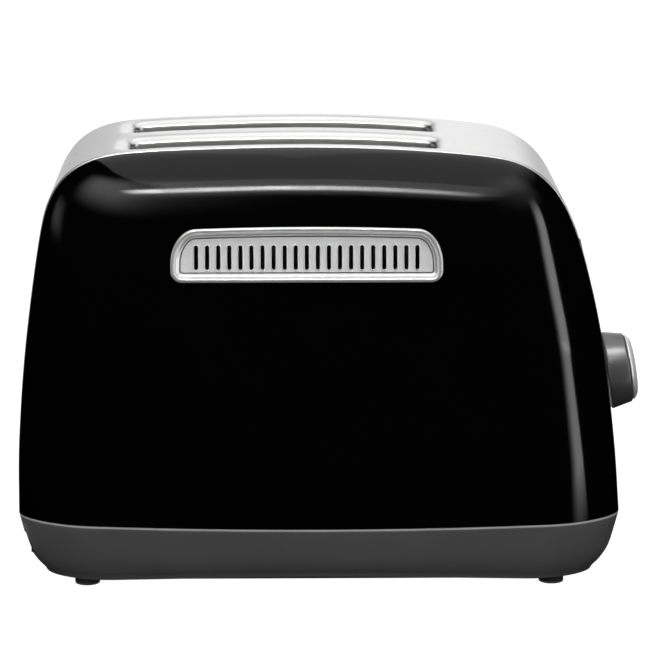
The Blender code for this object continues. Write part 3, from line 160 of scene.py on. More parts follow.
def bodyPoint(place, share, side):  # point and outward normal on the body's side, side -1 is the near one
    point, slope = archAt(place)
    depth, depthSlope = sideDepth(share)
    height = body["skirtTop"] + body["seamGap"] + point.y * share
    spot = Vector((bodyX + point.x * share, side * depth, height))
    along = Vector((slope.x, 0, slope.y))
    outward = Vector((point.x, side * depthSlope, point.y))
    normal = along.cross(outward).normalized()
    if normal.y * side < 0:
        normal = -normal
    return spot, normal


def bandPoint(place, depth):  # point and outward normal on the metal band at a depth across the top
    flat = body["flatDepth"] / 2
    if abs(depth) > flat:
        side = -1 if depth < 0 else 1
        return bodyPoint(place, shareAtDepth(abs(depth)), side)
    point, slope = archAt(place)
    spot = Vector((bodyX + point.x, depth, body["skirtTop"] + body["seamGap"] + point.y))
    return spot, Vector((-slope.y, 0, slope.x))


def placeAndShare(x, height):  # inverse of bodyPoint in the side view
    angle = math.atan2(height, -x)
    low, high = 0, len(arch) - 1
    while high - low > 1:
        middle = (low + high) // 2
        low, high = (middle, high) if archAngles[middle] < angle else (low, middle)
    span = archAngles[high] - archAngles[low]
    place = low + (angle - archAngles[low]) / span
    point = archAt(place)[0]
    return place, math.hypot(x, height) / max(point.length, 1e-9)


class Sheet:  # a surface with its own normals, closed into a thin solid
    def __init__(self):
        self.points, self.normals, self.faces = [], [], []

    def add(self, point, normal):
        self.points.append(Vector(point))
        self.normals.append(Vector(normal).normalized())
        return len(self.points) - 1

    def strip(self, rowA, rowB, closed=False):
        count = len(rowA)
        for index in range(count if closed else count - 1):
            after = (index + 1) % count
            self.faces.append((rowA[index], rowA[after], rowB[after], rowB[index]))

    def solid(self, name, wall):
        for index, face in enumerate(self.faces):  # every face looks the way its normals do
            corners = [self.points[corner] for corner in face]
            flat = (corners[1] - corners[0]).cross(corners[2] - corners[1])
            if flat.dot(sum((self.normals[corner] for corner in face), Vector())) < 0:
                self.faces[index] = face[::-1]
        edges = {}
        for face in self.faces:
            for start, end in zip(face, (*face[1:], face[0])):
                edges[(start, end)] = (end, start) in edges or edges.get((start, end), False)
                if (end, start) in edges:
                    edges[(end, start)] = True
        rim = [edge for edge, shared in edges.items() if not shared]
        count = len(self.points)
        inner = [point - normal * wall for point, normal in zip(self.points, self.normals)]
        faces = list(self.faces) + [tuple(count + corner for corner in face[::-1]) for face in self.faces]
        faces += [(end, start, count + start, count + end) for start, end in rim]
        mesh = bpy.data.meshes.new(name)
        mesh.from_pydata(self.points + inner, [], faces)
        mesh.update()
        mesh.polygons.foreach_set("use_smooth", [True] * len(faces))
        loopNormals = []
        for polygon in mesh.polygons:
            for corner in polygon.vertices:
                if polygon.index < len(self.faces):
                    loopNormals.append(self.normals[corner])
                elif polygon.index < 2 * len(self.faces):
                    loopNormals.append(-self.normals[corner - count])
                else:
                    loopNormals.append(polygon.normal.copy())
        mesh.normals_split_custom_set(loopNormals)
        return bpy.data.objects.new(name, mesh)


def placed(thing, carrier, slot, material, *nodes):  # puts a finished piece in the scene, on its CAD body
    bpy.context.scene.collection.objects.link(thing)
    thing.data.materials.clear()
    thing.data.materials.append(material)
    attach(thing, carrier)
    if nodes:
        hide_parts(*nodes)
    return thing


def ringPoints(centre, halfLength, halfWidth, corner, cornerSteps, spacing):  # a rounded rectangle
    radius = min(corner, halfLength, halfWidth)
    across, up = halfLength - radius, halfWidth - radius
    points = []
    for sideX, sideY, start in ((1, 1, 0), (-1, 1, 90), (-1, -1, 180), (1, -1, 270)):
        middle = Vector((centre[0] + sideX * across, centre[1] + sideY * up))
        for step in range(cornerSteps + 1):
            angle = math.radians(start + 90 * step / cornerSteps)
            points.append(middle + radius * Vector((math.cos(angle), math.sin(angle))))
        run = 2 * across if start in (0, 180) else 2 * up
        direction = Vector((-sideX, 0)) if start in (0, 180) else Vector((0, -sideY))
        spans = max(1, round(run / spacing))
        last = points[-1]
        points += [last + direction * run * span / spans for span in range(1, spans)]
    return points


def circlePoints(centre, radius, count):
    turns = [2 * math.pi * index / count for index in range(count)]
    return [Vector((centre[0] + radius * math.cos(a), centre[1] + radius * math.sin(a))) for a in turns]


def inside(point, loop):
    found = False
    for a, b in zip(loop, loop[1:] + loop[:1]):
        if (a.y > point.y) != (b.y > point.y):
            if point.x < (b.x - a.x) * (point.y - a.y) / (b.y - a.y) + a.x:
                found = not found
    return found


def nearLoop(point, loop, reach):
    return any((point - other).length < reach for other in loop)


fill = {"outlineGap": 0.0006, "loopGap": 0.0008, "reach": 0.001}


def fillBetween(sheet, loops, outline, spots, lift):  # triangles over a flat map with holes, then lifted
    flat, edges = [], []
    for loop in [outline, *loops]:
        first = len(flat)
        flat += loop
        edges += [(first + index, first + (index + 1) % len(loop)) for index in range(len(loop))]
    reach = fill["reach"]
    boxes = []
    for loop in loops:
        across, up = [point.x for point in loop], [point.y for point in loop]
        boxes.append((min(across) - reach, max(across) + reach, min(up) - reach, max(up) + reach))
    for spot in spots:
        clear = inside(spot, outline) and not nearLoop(spot, outline, fill["outlineGap"])
        for loop, (left, right, low, high) in zip(loops, boxes):
            if clear and left < spot.x < right and low < spot.y < high:
                clear = not nearLoop(spot, loop, fill["loopGap"]) and not inside(spot, loop)
        if clear:
            flat.append(spot)
    made = delaunay_2d_cdt(flat, edges, [], 0, 1e-7)
    found = {}
    for index, origins in enumerate(made[3]):
        for origin in origins:
            found[origin] = index
    numbers = {}
    for face in made[2]:
        corners = [made[0][corner] for corner in face]
        centre = sum(corners, Vector((0, 0))) / len(corners)
        if not inside(centre, outline) or any(inside(centre, loop) for loop in loops):
            continue
        for corner in face:
            if corner not in numbers:
                numbers[corner] = sheet.add(*lift(made[0][corner]))
        sheet.faces.append(tuple(numbers[corner] for corner in face))
    rows, first = [], 0
    for loop in [outline, *loops]:
        row = []
        for index in range(len(loop)):
            corner = found[first + index]
            if corner not in numbers:
                numbers[corner] = sheet.add(*lift(made[0][corner]))
            row.append(numbers[corner])
        rows.append(row)
        first += len(loop)
    return rows


vent = {
    "x": -0.006,
    "z": 0.1605,
    "length": 0.1254,
    "height": 0.0247,
    "lean": math.radians(8.5),
    "footCorner": 0.0055,
    "topSweep": 0.012,
    "topDrop": 0.0165,
    "crown": 0.0009,
    "shellInset": 0.0012,
    "footSteps": 8,
    "sweepSteps": 14,
    "crownSteps": 16,
    "underSteps": 32,
    "leastCorner": 0.0008,
}


def ventOutline(inset):  # foot corners, swept top corners, slightly crowned top
    halfLength, halfHeight = vent["length"] / 2 - inset, vent["height"] / 2 - inset
    foot = max(vent["footCorner"] - inset, vent["leastCorner"])
    sweep, drop = vent["topSweep"] - inset, vent["topDrop"] - inset
    right = []
    for step in range(vent["footSteps"] + 1):
        angle = math.radians(-90 + 90 * step / vent["footSteps"])
        right.append((halfLength - foot + foot * math.cos(angle), foot - halfHeight + foot * math.sin(angle)))
    for step in range(1, vent["sweepSteps"] + 1):
        angle = math.radians(90 * step / vent["sweepSteps"])
        x = halfLength - sweep + sweep * math.cos(angle)
        right.append((x, halfHeight - drop + drop * math.sin(angle)))
    across = halfLength - sweep
    for step in range(1, vent["crownSteps"]):
        x = across * (1 - step / vent["crownSteps"])
        right.append((x, halfHeight + vent["crown"] * (1 - (x / across) ** 2)))
    spans = vent["underSteps"]
    width = 2 * (halfLength - foot)
    under = [(foot - halfLength + width * step / spans, -halfHeight) for step in range(1, spans)]
    left = [(-x, y) for x, y in reversed(right)]
    return [Vector(point) for point in [*right, (0, halfHeight + vent["crown"]), *left, *under]]


def ventPoint(x, y, z, side):  # from the vent's own flat frame to the body
    share = (vent["z"] - body["skirtTop"]) / (body["top"] - body["skirtTop"])
    up = Vector((0, -side * math.sin(vent["lean"]), math.cos(vent["lean"])))
    out = Vector((0, side * math.cos(vent["lean"]), math.sin(vent["lean"])))
    origin = Vector((bodyX + vent["x"], side * sideDepth(share)[0], vent["z"]))
    return origin + Vector((x, 0, 0)) + up * y + out * z


bezel = {
    "rings": (  # inset from the outline, height over the shell's own face
        (0.0, -0.0018), (0.0, 0.0002), (0.0002, 0.0007), (0.0006, 0.00105), (0.0011, 0.0012),
        (0.0016, 0.0011), (0.0020, 0.00075), (0.0023, 0.0002), (0.0025, -0.0006), (0.0028, -0.0010),
        (0.0032, -0.0012), (0.0036, -0.00135), (0.0039, -0.00165), (0.0042, -0.0022), (0.0044, -0.0029),
    ),
    "back": ((0.0044, -0.0034), (0.0030, -0.0034), (0.0012, -0.0034)),
}
grille = {
    "inset": 0.0047,
    "set": -0.0021,
    "thickness": 0.0007,
    "count": 21,
    "pitch": 0.005085,
    "width": 0.0019,
    "height": 0.0112,
    "drop": 0.0009,
    "lipWidth": 0.0007,
    "lipProud": 0.00042,
    "endSteps": 8,
    "lip": ((0.55, 0.55, 0.75), (0.3, 1.0, 0.1), (0.1, 0.8, -0.6), (0.0, 0.35, -0.95)),  # outset, rise, lean
}


def makeBezel(name, side, node, material):  # a closed dished frame lofted from inset rings
    mesh = bmesh.new()
    loops = []
    for inset, height in (*bezel["rings"], *bezel["back"]):
        spots = [ventPoint(-side * point.x, point.y, height, side) for point in ventOutline(inset)]
        loops.append([mesh.verts.new(spot) for spot in spots])
    for loop, after in zip(loops, loops[1:] + loops[:1]):
        for index in range(len(loop)):
            follow = (index + 1) % len(loop)
            mesh.faces.new((loop[index], loop[follow], after[follow], after[index]))
    bmesh.ops.recalc_face_normals(mesh, faces=mesh.faces)
    data = bpy.data.meshes.new(name)
    mesh.to_mesh(data)
    mesh.free()
    data.polygons.foreach_set("use_smooth", [True] * len(data.polygons))
    return placed(bpy.data.objects.new(name, data), "housing", "chrome", material, node)


def slotRing(x, grow):  # an upright rounded slot in the vent's frame
    halfWidth, halfHeight = grille["width"] / 2 + grow, grille["height"] / 2 + grow
    points = []
    for sideY, start in ((1, 0), (-1, 180)):
        for step in range(grille["endSteps"] + 1):
            angle = math.radians(start + 180 * step / grille["endSteps"])
            high = sideY * (halfHeight - halfWidth) + halfWidth * math.sin(angle)
            points.append(Vector((x + halfWidth * math.cos(angle), high - grille["drop"])))
    return points


def makeGrille(name, side, node, material):  # a plate with pressed slots that have raised rims
    sheet = Sheet()
    out = (ventPoint(0, 0, 1, side) - ventPoint(0, 0, 0, side)).normalized()
    middles = [(index - (grille["count"] - 1) / 2) * grille["pitch"] for index in range(grille["count"])]
    loops = [slotRing(x, grille["lipWidth"]) for x in middles]
    outline = ventOutline(grille["inset"])

    def lift(spot):
        return ventPoint(-side * spot.x, spot.y, grille["set"], side), out

    made = fillBetween(sheet, loops, outline, [], lift)
    for row, x in zip(made[1:], middles):
        last = row
        for grow, height, lean in grille["lip"]:
            ring = slotRing(x, grille["lipWidth"] * grow)
            fresh = []
            for number, point in enumerate(ring):
                run = (ring[(number + 1) % len(ring)] - ring[number - 1]).normalized()
                away = ventPoint(-side * run.y, -run.x, 0, side) - ventPoint(0, 0, 0, side)
                normal = out * math.sqrt(1 - lean * lean) + away * lean
                spot = ventPoint(-side * point.x, point.y, grille["set"] + grille["lipProud"] * height, side)
                fresh.append(sheet.add(spot, normal))
            sheet.strip(last, fresh, True)
            last = fresh
    thing = sheet.solid(name, grille["thickness"])
    return placed(thing, "housing", "satin_steel", material, node)


def hemPoint(spot, normal, side, roll, degrees):  # point and normal on an edge that rolls over at a seam
    turn = math.radians(degrees)
    across = Vector((0, side, 0))
    across = (across - normal * across.dot(normal)).normalized()
    spot = spot - across * roll + across * roll * math.sin(turn)
    return spot + normal * roll * (math.cos(turn) - 1), normal * math.cos(turn) + across * math.sin(turn)


shell = {
    "columns": 150,
    "shoulderRows": 18,
    "hem": 0.0009,
    "hemAngles": (90, 60, 30),
    "footSteps": 60,
    "fillShare": 0.87,
    "closeShares": (0.857, 0.843, 0.828, 0.812, 0.796, 0.78, 0.765, 0.75, 0.73, 0.7),
    "faceShares": (0.65, 0.59, 0.52, 0.44, 0.36, 0.28, 0.2, 0.12),
}


def makeShell(name, side, node, material):
    sheet = Sheet()
    places = [(len(arch) - 1) * index / (shell["columns"] - 1) for index in range(shell["columns"])]
    seamShare = shareAtDepth(body["seamDepth"] + body["seamGap"] / 2)
    start = body["shoulderStart"]
    lastTurn = math.acos((seamShare - start) / (1 - start))
    rows = []
    for angle in shell["hemAngles"]:
        hem = [hemPoint(*bodyPoint(place, seamShare, side), -side, shell["hem"], angle) for place in places]
        rows.append([sheet.add(*pair) for pair in hem])
    fillTurn = math.acos((shell["fillShare"] - start) / (1 - start))
    for step in range(shell["shoulderRows"] + 1):
        turn = lastTurn + (fillTurn - lastTurn) * step / shell["shoulderRows"]
        share = start + (1 - start) * math.cos(turn)
        if step == 0:
            share = shareAtDepth(body["seamDepth"] + body["seamGap"] / 2 + shell["hem"])
        rows.append([sheet.add(*bodyPoint(place, share, side)) for place in places])
    for outer, inner in zip(rows, rows[1:]):
        sheet.strip(outer, inner)

    def sidePoint(place, share):
        point = archAt(place)[0]
        return Vector((point.x * share, point.y * share if point.y > 1e-5 else 0.0))

    outline = [sidePoint(place, shell["fillShare"]) for place in places]
    spots = [sidePoint(place, share) for share in shell["closeShares"] for place in places]
    spots += [sidePoint(place, share) for share in shell["faceShares"] for place in places[::3]]
    spots = [spot for spot in spots if spot.y > 0.0015]
    slant = math.cos(vent["lean"])
    hole = [
        Vector((vent["x"] - side * point.x, vent["z"] - body["skirtTop"] + point.y * slant))
        for point in ventOutline(vent["shellInset"])
    ]
    spans = shell["footSteps"]
    footSpots = [outline[-1].lerp(outline[0], step / spans) for step in range(1, spans)]

    def lift(spot):
        place, share = placeAndShare(spot.x, max(spot.y, 0.0))
        return bodyPoint(place, min(share, shell["fillShare"]), side)

    made = fillBetween(sheet, [hole], outline + footSpots, spots, lift)
    for old, new in zip(rows[-1], made[0]):  # the fill starts on the shoulder's last row
        sheet.faces = [tuple(new if corner == old else corner for corner in face) for face in sheet.faces]
    thing = sheet.solid(name, body["wall"])
    return placed(thing, "housing", "black_enamel", material, node)


slots = {
    "length": 0.145,
    "width": 0.030,
    "pitch": 0.052,
    "x": -0.0165,
    "corner": 0.006,
    "flare": 0.008,
    "flareDepth": 0.004,
    "flareSteps": 9,
    "throatDepth": 0.013,
    "spacing": 0.003,
    "cornerSteps": 10,
}
lever = {
    "z": 0.0882,
    "travel": 0.0448,
    "slotWidth": 0.006,
    "margin": 0.006,
    "slotCorner": 0.0012,
    "cornerSteps": 4,
    "spacing": 0.003,
}
dial = {"z": 0.140, "hole": 0.0154, "sides": 64}
buttons = {"y": 0.034, "heights": (0.062, 0.084), "hole": 0.0064, "sides": 32}
band = {
    "columns": 220,
    "rows": 24,
    "endSteps": 25,
    "roll": 0.0011,
    "rollStep": 0.0008,
    "rollAngles": (90, 68, 45, 22),
    "wall": 0.0008,
}


def flareRing(side):  # the outer edge of a bread slot's rolled lip
    middle = (slots["x"], side * slots["pitch"] / 2)
    halves = (slots["length"] / 2 + slots["flare"], slots["width"] / 2 + slots["flare"])
    corner = slots["corner"] + slots["flare"]
    return ringPoints(middle, *halves, corner, slots["cornerSteps"], slots["spacing"])


def makeBand(material):
    sheet = Sheet()
    step = (arch[1] - arch[0]).length
    places = [(len(arch) - 1) * index / band["columns"] for index in range(band["columns"] + 1)]
    half = body["seamDepth"] - body["seamGap"] / 2
    roll = band["roll"]
    depths = [half - roll, half - roll - band["rollStep"], body["flatDepth"] / 2]

    def mapped(place, depth):
        return Vector((place * step, depth))

    edgeRows = []
    for side in (-1, 1):
        rolled = []
        for angle in band["rollAngles"]:
            edge = [hemPoint(*bandPoint(place, side * half), side, roll, angle) for place in places]
            rolled.append([sheet.add(*pair) for pair in edge])
        for depth in depths:
            rolled.append([sheet.add(*bandPoint(place, side * depth)) for place in places])
        for outer, inner in zip(rolled, rolled[1:]):
            sheet.strip(outer, inner)
        edgeRows.append(rolled[-1])

    flat = body["flatDepth"] / 2
    topLine = [mapped(place, -flat) for place in places]
    backLine = [mapped(place, flat) for place in places]
    endSpots = [index / band["endSteps"] for index in range(1, band["endSteps"])]
    ends = [topLine[-1].lerp(backLine[-1], share) for share in endSpots]
    starts = [backLine[0].lerp(topLine[0], share) for share in endSpots]
    outline = topLine + ends + backLine[::-1] + starts
    loops = [[mapped(archPlaceAtX(point.x), point.y) for point in flareRing(side)] for side in (-1, 1)]
    slotTop = archPlaceAtHeight(lever["z"] + lever["margin"])
    slotFoot = archPlaceAtHeight(lever["z"] - lever["travel"] - lever["margin"])
    middle = ((slotTop + slotFoot) / 2 * step, 0)
    halfRun = (slotFoot - slotTop) / 2 * step
    corner = (lever["slotCorner"], lever["cornerSteps"], lever["spacing"])
    loops.append(ringPoints(middle, halfRun, lever["slotWidth"] / 2, *corner))
    loops.append(circlePoints((archPlaceAtHeight(dial["z"]) * step, 0), dial["hole"], dial["sides"]))
    for side in (-1, 1):
        for height in buttons["heights"]:
            centre = (archPlaceAtHeight(height) * step, side * buttons["y"])
            loops.append(circlePoints(centre, buttons["hole"], buttons["sides"]))
    lines = [-flat + 2 * flat * row / band["rows"] for row in range(1, band["rows"])]
    spots = [mapped(place, line) for place in places[1:-1] for line in lines]

    def lift(spot):
        return bandPoint(spot.x / step, spot.y)

    made = fillBetween(sheet, loops, outline, spots, lift)
    farStart = len(places) + len(ends)
    nearRow, farRow = made[0][: len(places)], made[0][farStart : farStart + len(places)][::-1]
    swap = dict(zip(edgeRows[0], nearRow)) | dict(zip(edgeRows[1], farRow))
    sheet.faces = [tuple(swap.get(corner, corner) for corner in face) for face in sheet.faces]
    for row, side in zip(made[1:3], (-1, 1)):  # the rolled lips and the throats
        ring = flareRing(side)
        last = row
        for lip in range(1, slots["flareSteps"] + 3):
            turn = math.pi / 2 * min(lip, slots["flareSteps"]) / slots["flareSteps"]
            outset = slots["flare"] * (1 - math.sin(turn))
            drop = slots["flareDepth"] * (1 - math.cos(turn))
            fresh = []
            for number, point in enumerate(ring):
                before, after = ring[number - 1], ring[(number + 1) % len(ring)]
                run = (after - before).normalized()
                inward = Vector((-run.y, run.x))
                spot = point + inward * (slots["flare"] - outset)
                surface, up = bandPoint(archPlaceAtX(spot.x), spot.y)
                inward3 = Vector((inward.x, inward.y, 0))
                inward3 = (inward3 - up * inward3.dot(up)).normalized()
                height = surface.z - drop
                slopeOut = slots["flareDepth"] * math.sin(turn)
                slopeIn = slots["flare"] * math.cos(turn)
                normal = (up * slopeIn + inward3 * slopeOut).normalized()
                if lip > slots["flareSteps"]:
                    share = (lip - slots["flareSteps"]) / 2
                    floor = body["top"] - slots["throatDepth"]
                    height = height + (floor - height) * share
                fresh.append(sheet.add((bodyX + spot.x, spot.y, height), normal))
            sheet.strip(last, fresh, True)
            last = fresh
    thing = sheet.solid("metalBand", band["wall"])
    return placed(thing, "housing", "brushed_steel", material, "top_band")


knob = {
    "x": 0.1402,
    "tilt": math.radians(8.7),
    "sides": 96,
    "profile": (  # radius and distance from the knob's back
        (0.0, 0.0048), (0.0062, 0.0048), (0.0065, 0.0045), (0.0065, 0.0), (0.0178, 0.0), (0.0183, 0.0002),
        (0.0187, 0.0006), (0.0188, 0.0011), (0.0169, 0.0099), (0.0168, 0.0103), (0.0165, 0.0106),
        (0.0161, 0.0108), (0.0, 0.0108),
    ),
    "capProfile": (
        (0.0, 0.0111), (0.0151, 0.0111), (0.0156, 0.0112), (0.0158, 0.01145), (0.01575, 0.0118),
        (0.0151, 0.01255), (0.0141, 0.01325), (0.0131, 0.0137), (0.0122, 0.0139), (0.0104, 0.01413),
        (0.008, 0.01425), (0.0045, 0.0143), (0.0, 0.0143),
    ),
}


def makeTurned(name, profile, material, slot, node):  # a lathe solid about the knob's axis
    line = [Vector(point) for point in profile]
    lean = Matrix.Rotation(math.pi / 2 - knob["tilt"], 4, "Y")
    place = Matrix.Translation((bodyX + knob["x"], 0, lever["z"])) @ lean
    mesh = bmesh.new()
    rings = []
    for point in line[1:-1]:
        circle = circlePoints((0, 0), point.x, knob["sides"])
        rings.append([mesh.verts.new(place @ Vector((spot.x, spot.y, point.y))) for spot in circle])
    for ring, after in zip(rings, rings[1:]):
        for index in range(len(ring)):
            follow = (index + 1) % len(ring)
            mesh.faces.new((ring[index], ring[follow], after[follow], after[index]))
    for ring, end in ((rings[0], line[0]), (rings[-1], line[-1])):
        tip = mesh.verts.new(place @ Vector((0, 0, end.y)))
        for index in range(len(ring)):
            mesh.faces.new((ring[index], ring[(index + 1) % len(ring)], tip))
    bmesh.ops.recalc_face_normals(mesh, faces=mesh.faces)
    data = bpy.data.meshes.new(name)
    mesh.to_mesh(data)
    mesh.free()
    data.shade_smooth()
    data.set_sharp_from_angle(angle=math.radians(40))
    return placed(bpy.data.objects.new(name, data), "lever", slot, material, node)


def grey(level):
    return (level, level, level, 1)


def newGroup(name, inputs, outputs):  # an empty shader node group with its sockets
    group = bpy.data.node_groups.new(name, "ShaderNodeTree")
    for label, kind, value in inputs:
        socket = group.interface.new_socket(name=label, in_out="INPUT", socket_type=kind)
        if value is not None:
            socket.default_value = value
    for label, kind in outputs:
        group.interface.new_socket(name=label, in_out="OUTPUT", socket_type=kind)
    return group, group.nodes.new("NodeGroupInput"), group.nodes.new("NodeGroupOutput")


def addNode(tree, kind, values=(), **settings):
    node = tree.nodes.new(kind)
    for key, value in settings.items():
        setattr(node, key, value)
    for socket, value in dict(values).items():
        node.inputs[socket].default_value = value
    return node


def mixValue(tree, factor, low, high):  # a value that runs from low to high with factor
    node = addNode(tree, "ShaderNodeMapRange")
    tree.links.new(factor, node.inputs["Value"])
    for socket, value in (("To Min", low), ("To Max", high)):
        if hasattr(value, "links"):
            tree.links.new(value, node.inputs[socket])
        else:
            node.inputs[socket].default_value = value
    return node.outputs["Result"]


def finishGroup(group, entry, leave, shade, spread, relief):  # the outputs that both groups share
    tint = addNode(group, "ShaderNodeMix", data_type="RGBA")
    group.links.new(shade, tint.inputs[0])
    group.links.new(entry.outputs["Dark"], tint.inputs[6])
    group.links.new(entry.outputs["Light"], tint.inputs[7])
    group.links.new(tint.outputs[2], leave.inputs["Color"])
    rough = mixValue(group, spread, entry.outputs["Smoothest"], entry.outputs["Roughest"])
    group.links.new(rough, leave.inputs["Roughness"])
    group.links.new(relief, leave.inputs[2])


def makeMottleGroup():  # soft cloudy variation: colour, roughness and height
    group, entry, leave = newGroup(
        "mottle",
        [
            ("Light", "NodeSocketColor", (1, 1, 1, 1)), ("Dark", "NodeSocketColor", (0, 0, 0, 1)),
            ("Scale", "NodeSocketFloat", 60.0), ("Smoothest", "NodeSocketFloat", 0.3),
            ("Roughest", "NodeSocketFloat", 0.5), ("Grain Scale", "NodeSocketFloat", 2500.0),
        ],
        [("Color", "NodeSocketColor"), ("Roughness", "NodeSocketFloat"), ("Grain", "NodeSocketFloat")],
    )
    spot = addNode(group, "ShaderNodeTexCoord")
    cloud = addNode(group, "ShaderNodeTexNoise", {"Detail": 4.0, "Roughness": 0.55})
    grain = addNode(group, "ShaderNodeTexNoise", {"Detail": 2.0, "Roughness": 0.5})
    for node, scale in ((cloud, "Scale"), (grain, "Grain Scale")):
        group.links.new(spot.outputs["Object"], node.inputs["Vector"])
        group.links.new(entry.outputs[scale], node.inputs["Scale"])
    finishGroup(group, entry, leave, cloud.outputs["Fac"], cloud.outputs["Fac"], grain.outputs["Fac"])
    return group


def makeBrushGroup():  # fine lines along one direction: colour, roughness and height
    group, entry, leave = newGroup(
        "brushLines",
        [
            ("Stretch", "NodeSocketVector", (20, 6000, 20)), ("Light", "NodeSocketColor", (1, 1, 1, 1)),
            ("Dark", "NodeSocketColor", grey(0.5)), ("Smoothest", "NodeSocketFloat", 0.25),
            ("Roughest", "NodeSocketFloat", 0.4),
        ],
        [("Color", "NodeSocketColor"), ("Roughness", "NodeSocketFloat"), ("Lines", "NodeSocketFloat")],
    )
    spot = addNode(group, "ShaderNodeTexCoord")
    stretch = addNode(group, "ShaderNodeVectorMath", operation="MULTIPLY")
    group.links.new(spot.outputs["Object"], stretch.inputs[0])
    group.links.new(entry.outputs["Stretch"], stretch.inputs[1])
    fine = addNode(group, "ShaderNodeTexNoise", {"Scale": 1.0, "Detail": 3.0, "Roughness": 0.65})
    group.links.new(stretch.outputs[0], fine.inputs["Vector"])
    cloud = addNode(group, "ShaderNodeTexNoise", {"Scale": 35.0, "Detail": 3.0, "Roughness": 0.5})
    group.links.new(spot.outputs["Object"], cloud.inputs["Vector"])
    blend = addNode(group, "ShaderNodeMath", operation="MULTIPLY_ADD")
    group.links.new(cloud.outputs["Fac"], blend.inputs[0])
    blend.inputs[1].default_value = 0.35
    group.links.new(fine.outputs["Fac"], blend.inputs[2])
    finishGroup(group, entry, leave, fine.outputs["Fac"], blend.outputs[0], fine.outputs["Fac"])
    return group


mottleGroup = makeMottleGroup()
brushGroup = makeBrushGroup()


def finish(name, group, groupValues, shaderValues, bump, height):  # a material from one of the groups
    material = bpy.data.materials.new(name)
    material.use_nodes = True
    tree = material.node_tree
    shader = tree.nodes["Principled BSDF"]
    for socket, value in shaderValues.items():
        shader.inputs[socket].default_value = value
    effect = addNode(tree, "ShaderNodeGroup", node_tree=group)
    for socket, value in groupValues.items():
        effect.inputs[socket].default_value = value
    tree.links.new(effect.outputs["Color"], shader.inputs["Base Color"])
    tree.links.new(effect.outputs["Roughness"], shader.inputs["Roughness"])
    if bump:
        relief = addNode(tree, "ShaderNodeBump", {"Strength": bump, "Distance": height})
        tree.links.new(effect.outputs[2], relief.inputs["Height"])
        tree.links.new(relief.outputs["Normal"], shader.inputs["Normal"])
    return material


enamel = finish(
    "blackEnamel", mottleGroup,
    {"Light": (0.0012, 0.0012, 0.0013, 1), "Dark": (0.0007, 0.0007, 0.0008, 1), "Scale": 25.0,
     "Smoothest": 0.05, "Roughest": 0.085, "Grain Scale": 700.0},
    {"IOR": 1.42}, 0.02, 0.0002,
)
bandSteel = finish(
    "bandSteel", brushGroup,
    {"Stretch": (14.0, 5200.0, 14.0), "Light": (0.97, 0.97, 0.965, 1), "Dark": grey(0.78),
     "Smoothest": 0.2, "Roughest": 0.34},
    {"Metallic": 1.0}, 0.12, 0.00006,
)
capSteel = finish(
    "capSteel", brushGroup,
    {"Stretch": (30.0, 5600.0, 30.0), "Light": grey(0.86), "Dark": grey(0.66),
     "Smoothest": 0.22, "Roughest": 0.36},
    {"Metallic": 0.5}, 0.12, 0.00005,
)
ventChrome = finish(
    "ventChrome", mottleGroup,
    {"Light": grey(0.95), "Dark": grey(0.9), "Scale": 90.0,
     "Smoothest": 0.12, "Roughest": 0.2, "Grain Scale": 3000.0},
    {"Metallic": 0.65}, 0.02, 0.00003,
)
ventSteel = finish(
    "ventSteel", mottleGroup,
    {"Light": grey(0.88), "Dark": grey(0.8), "Scale": 120.0,
     "Smoothest": 0.34, "Roughest": 0.46, "Grain Scale": 4000.0},
    {"Metallic": 0.3}, 0.05, 0.00003,
)
basePlastic = finish(
    "basePlastic", mottleGroup,
    {"Light": (0.084, 0.084, 0.086, 1), "Dark": (0.068, 0.068, 0.070, 1), "Scale": 45.0,
     "Smoothest": 0.42, "Roughest": 0.56, "Grain Scale": 2600.0},
    {"IOR": 1.46}, 0.16, 0.00012,
)
knobPlastic = finish(
    "knobPlastic", mottleGroup,
    {"Light": grey(0.15), "Dark": grey(0.115), "Scale": 80.0,
     "Smoothest": 0.3, "Roughest": 0.38, "Grain Scale": 3200.0},
    {"Metallic": 0.6}, 0.06, 0.00004,
)
rubber = finish(
    "footRubber", mottleGroup,
    {"Light": grey(0.022), "Dark": grey(0.012), "Scale": 200.0,
     "Smoothest": 0.6, "Roughest": 0.8, "Grain Scale": 2500.0},
    {}, 0.2, 0.0001,
)
platedSteel = finish(
    "platedSteel", brushGroup,
    {"Stretch": (900.0, 60.0, 60.0), "Light": (0.66, 0.67, 0.68, 1), "Dark": (0.5, 0.51, 0.52, 1),
     "Smoothest": 0.3, "Roughest": 0.45},
    {"Metallic": 1.0}, 0.05, 0.00004,
)
guardSteel = finish(
    "guardSteel", mottleGroup,
    {"Light": (0.5, 0.48, 0.46, 1), "Dark": (0.3, 0.29, 0.28, 1), "Scale": 60.0,
     "Smoothest": 0.35, "Roughest": 0.55, "Grain Scale": 2500.0},
    {"Metallic": 1.0}, 0.1, 0.00005,
)
springSteel = finish(
    "springSteel", mottleGroup,
    {"Light": (0.34, 0.34, 0.35, 1), "Dark": (0.24, 0.24, 0.25, 1), "Scale": 300.0,
     "Smoothest": 0.28, "Roughest": 0.42, "Grain Scale": 3000.0},
    {"Metallic": 1.0}, 0.05, 0.00003,
)
mica = finish(
    "micaCard", mottleGroup,
    {"Light": (0.5, 0.4, 0.26, 1), "Dark": (0.3, 0.22, 0.12, 1), "Scale": 160.0,
     "Smoothest": 0.4, "Roughest": 0.7, "Grain Scale": 1800.0},
    {}, 0.15, 0.0001,
)
copper = finish(
    "copperWire", brushGroup,
    {"Stretch": (30.0, 30.0, 3400.0), "Light": (0.62, 0.27, 0.13, 1), "Dark": (0.34, 0.13, 0.06, 1),
     "Smoothest": 0.25, "Roughest": 0.45},
    {"Metallic": 1.0}, 0.6, 0.0003,
)
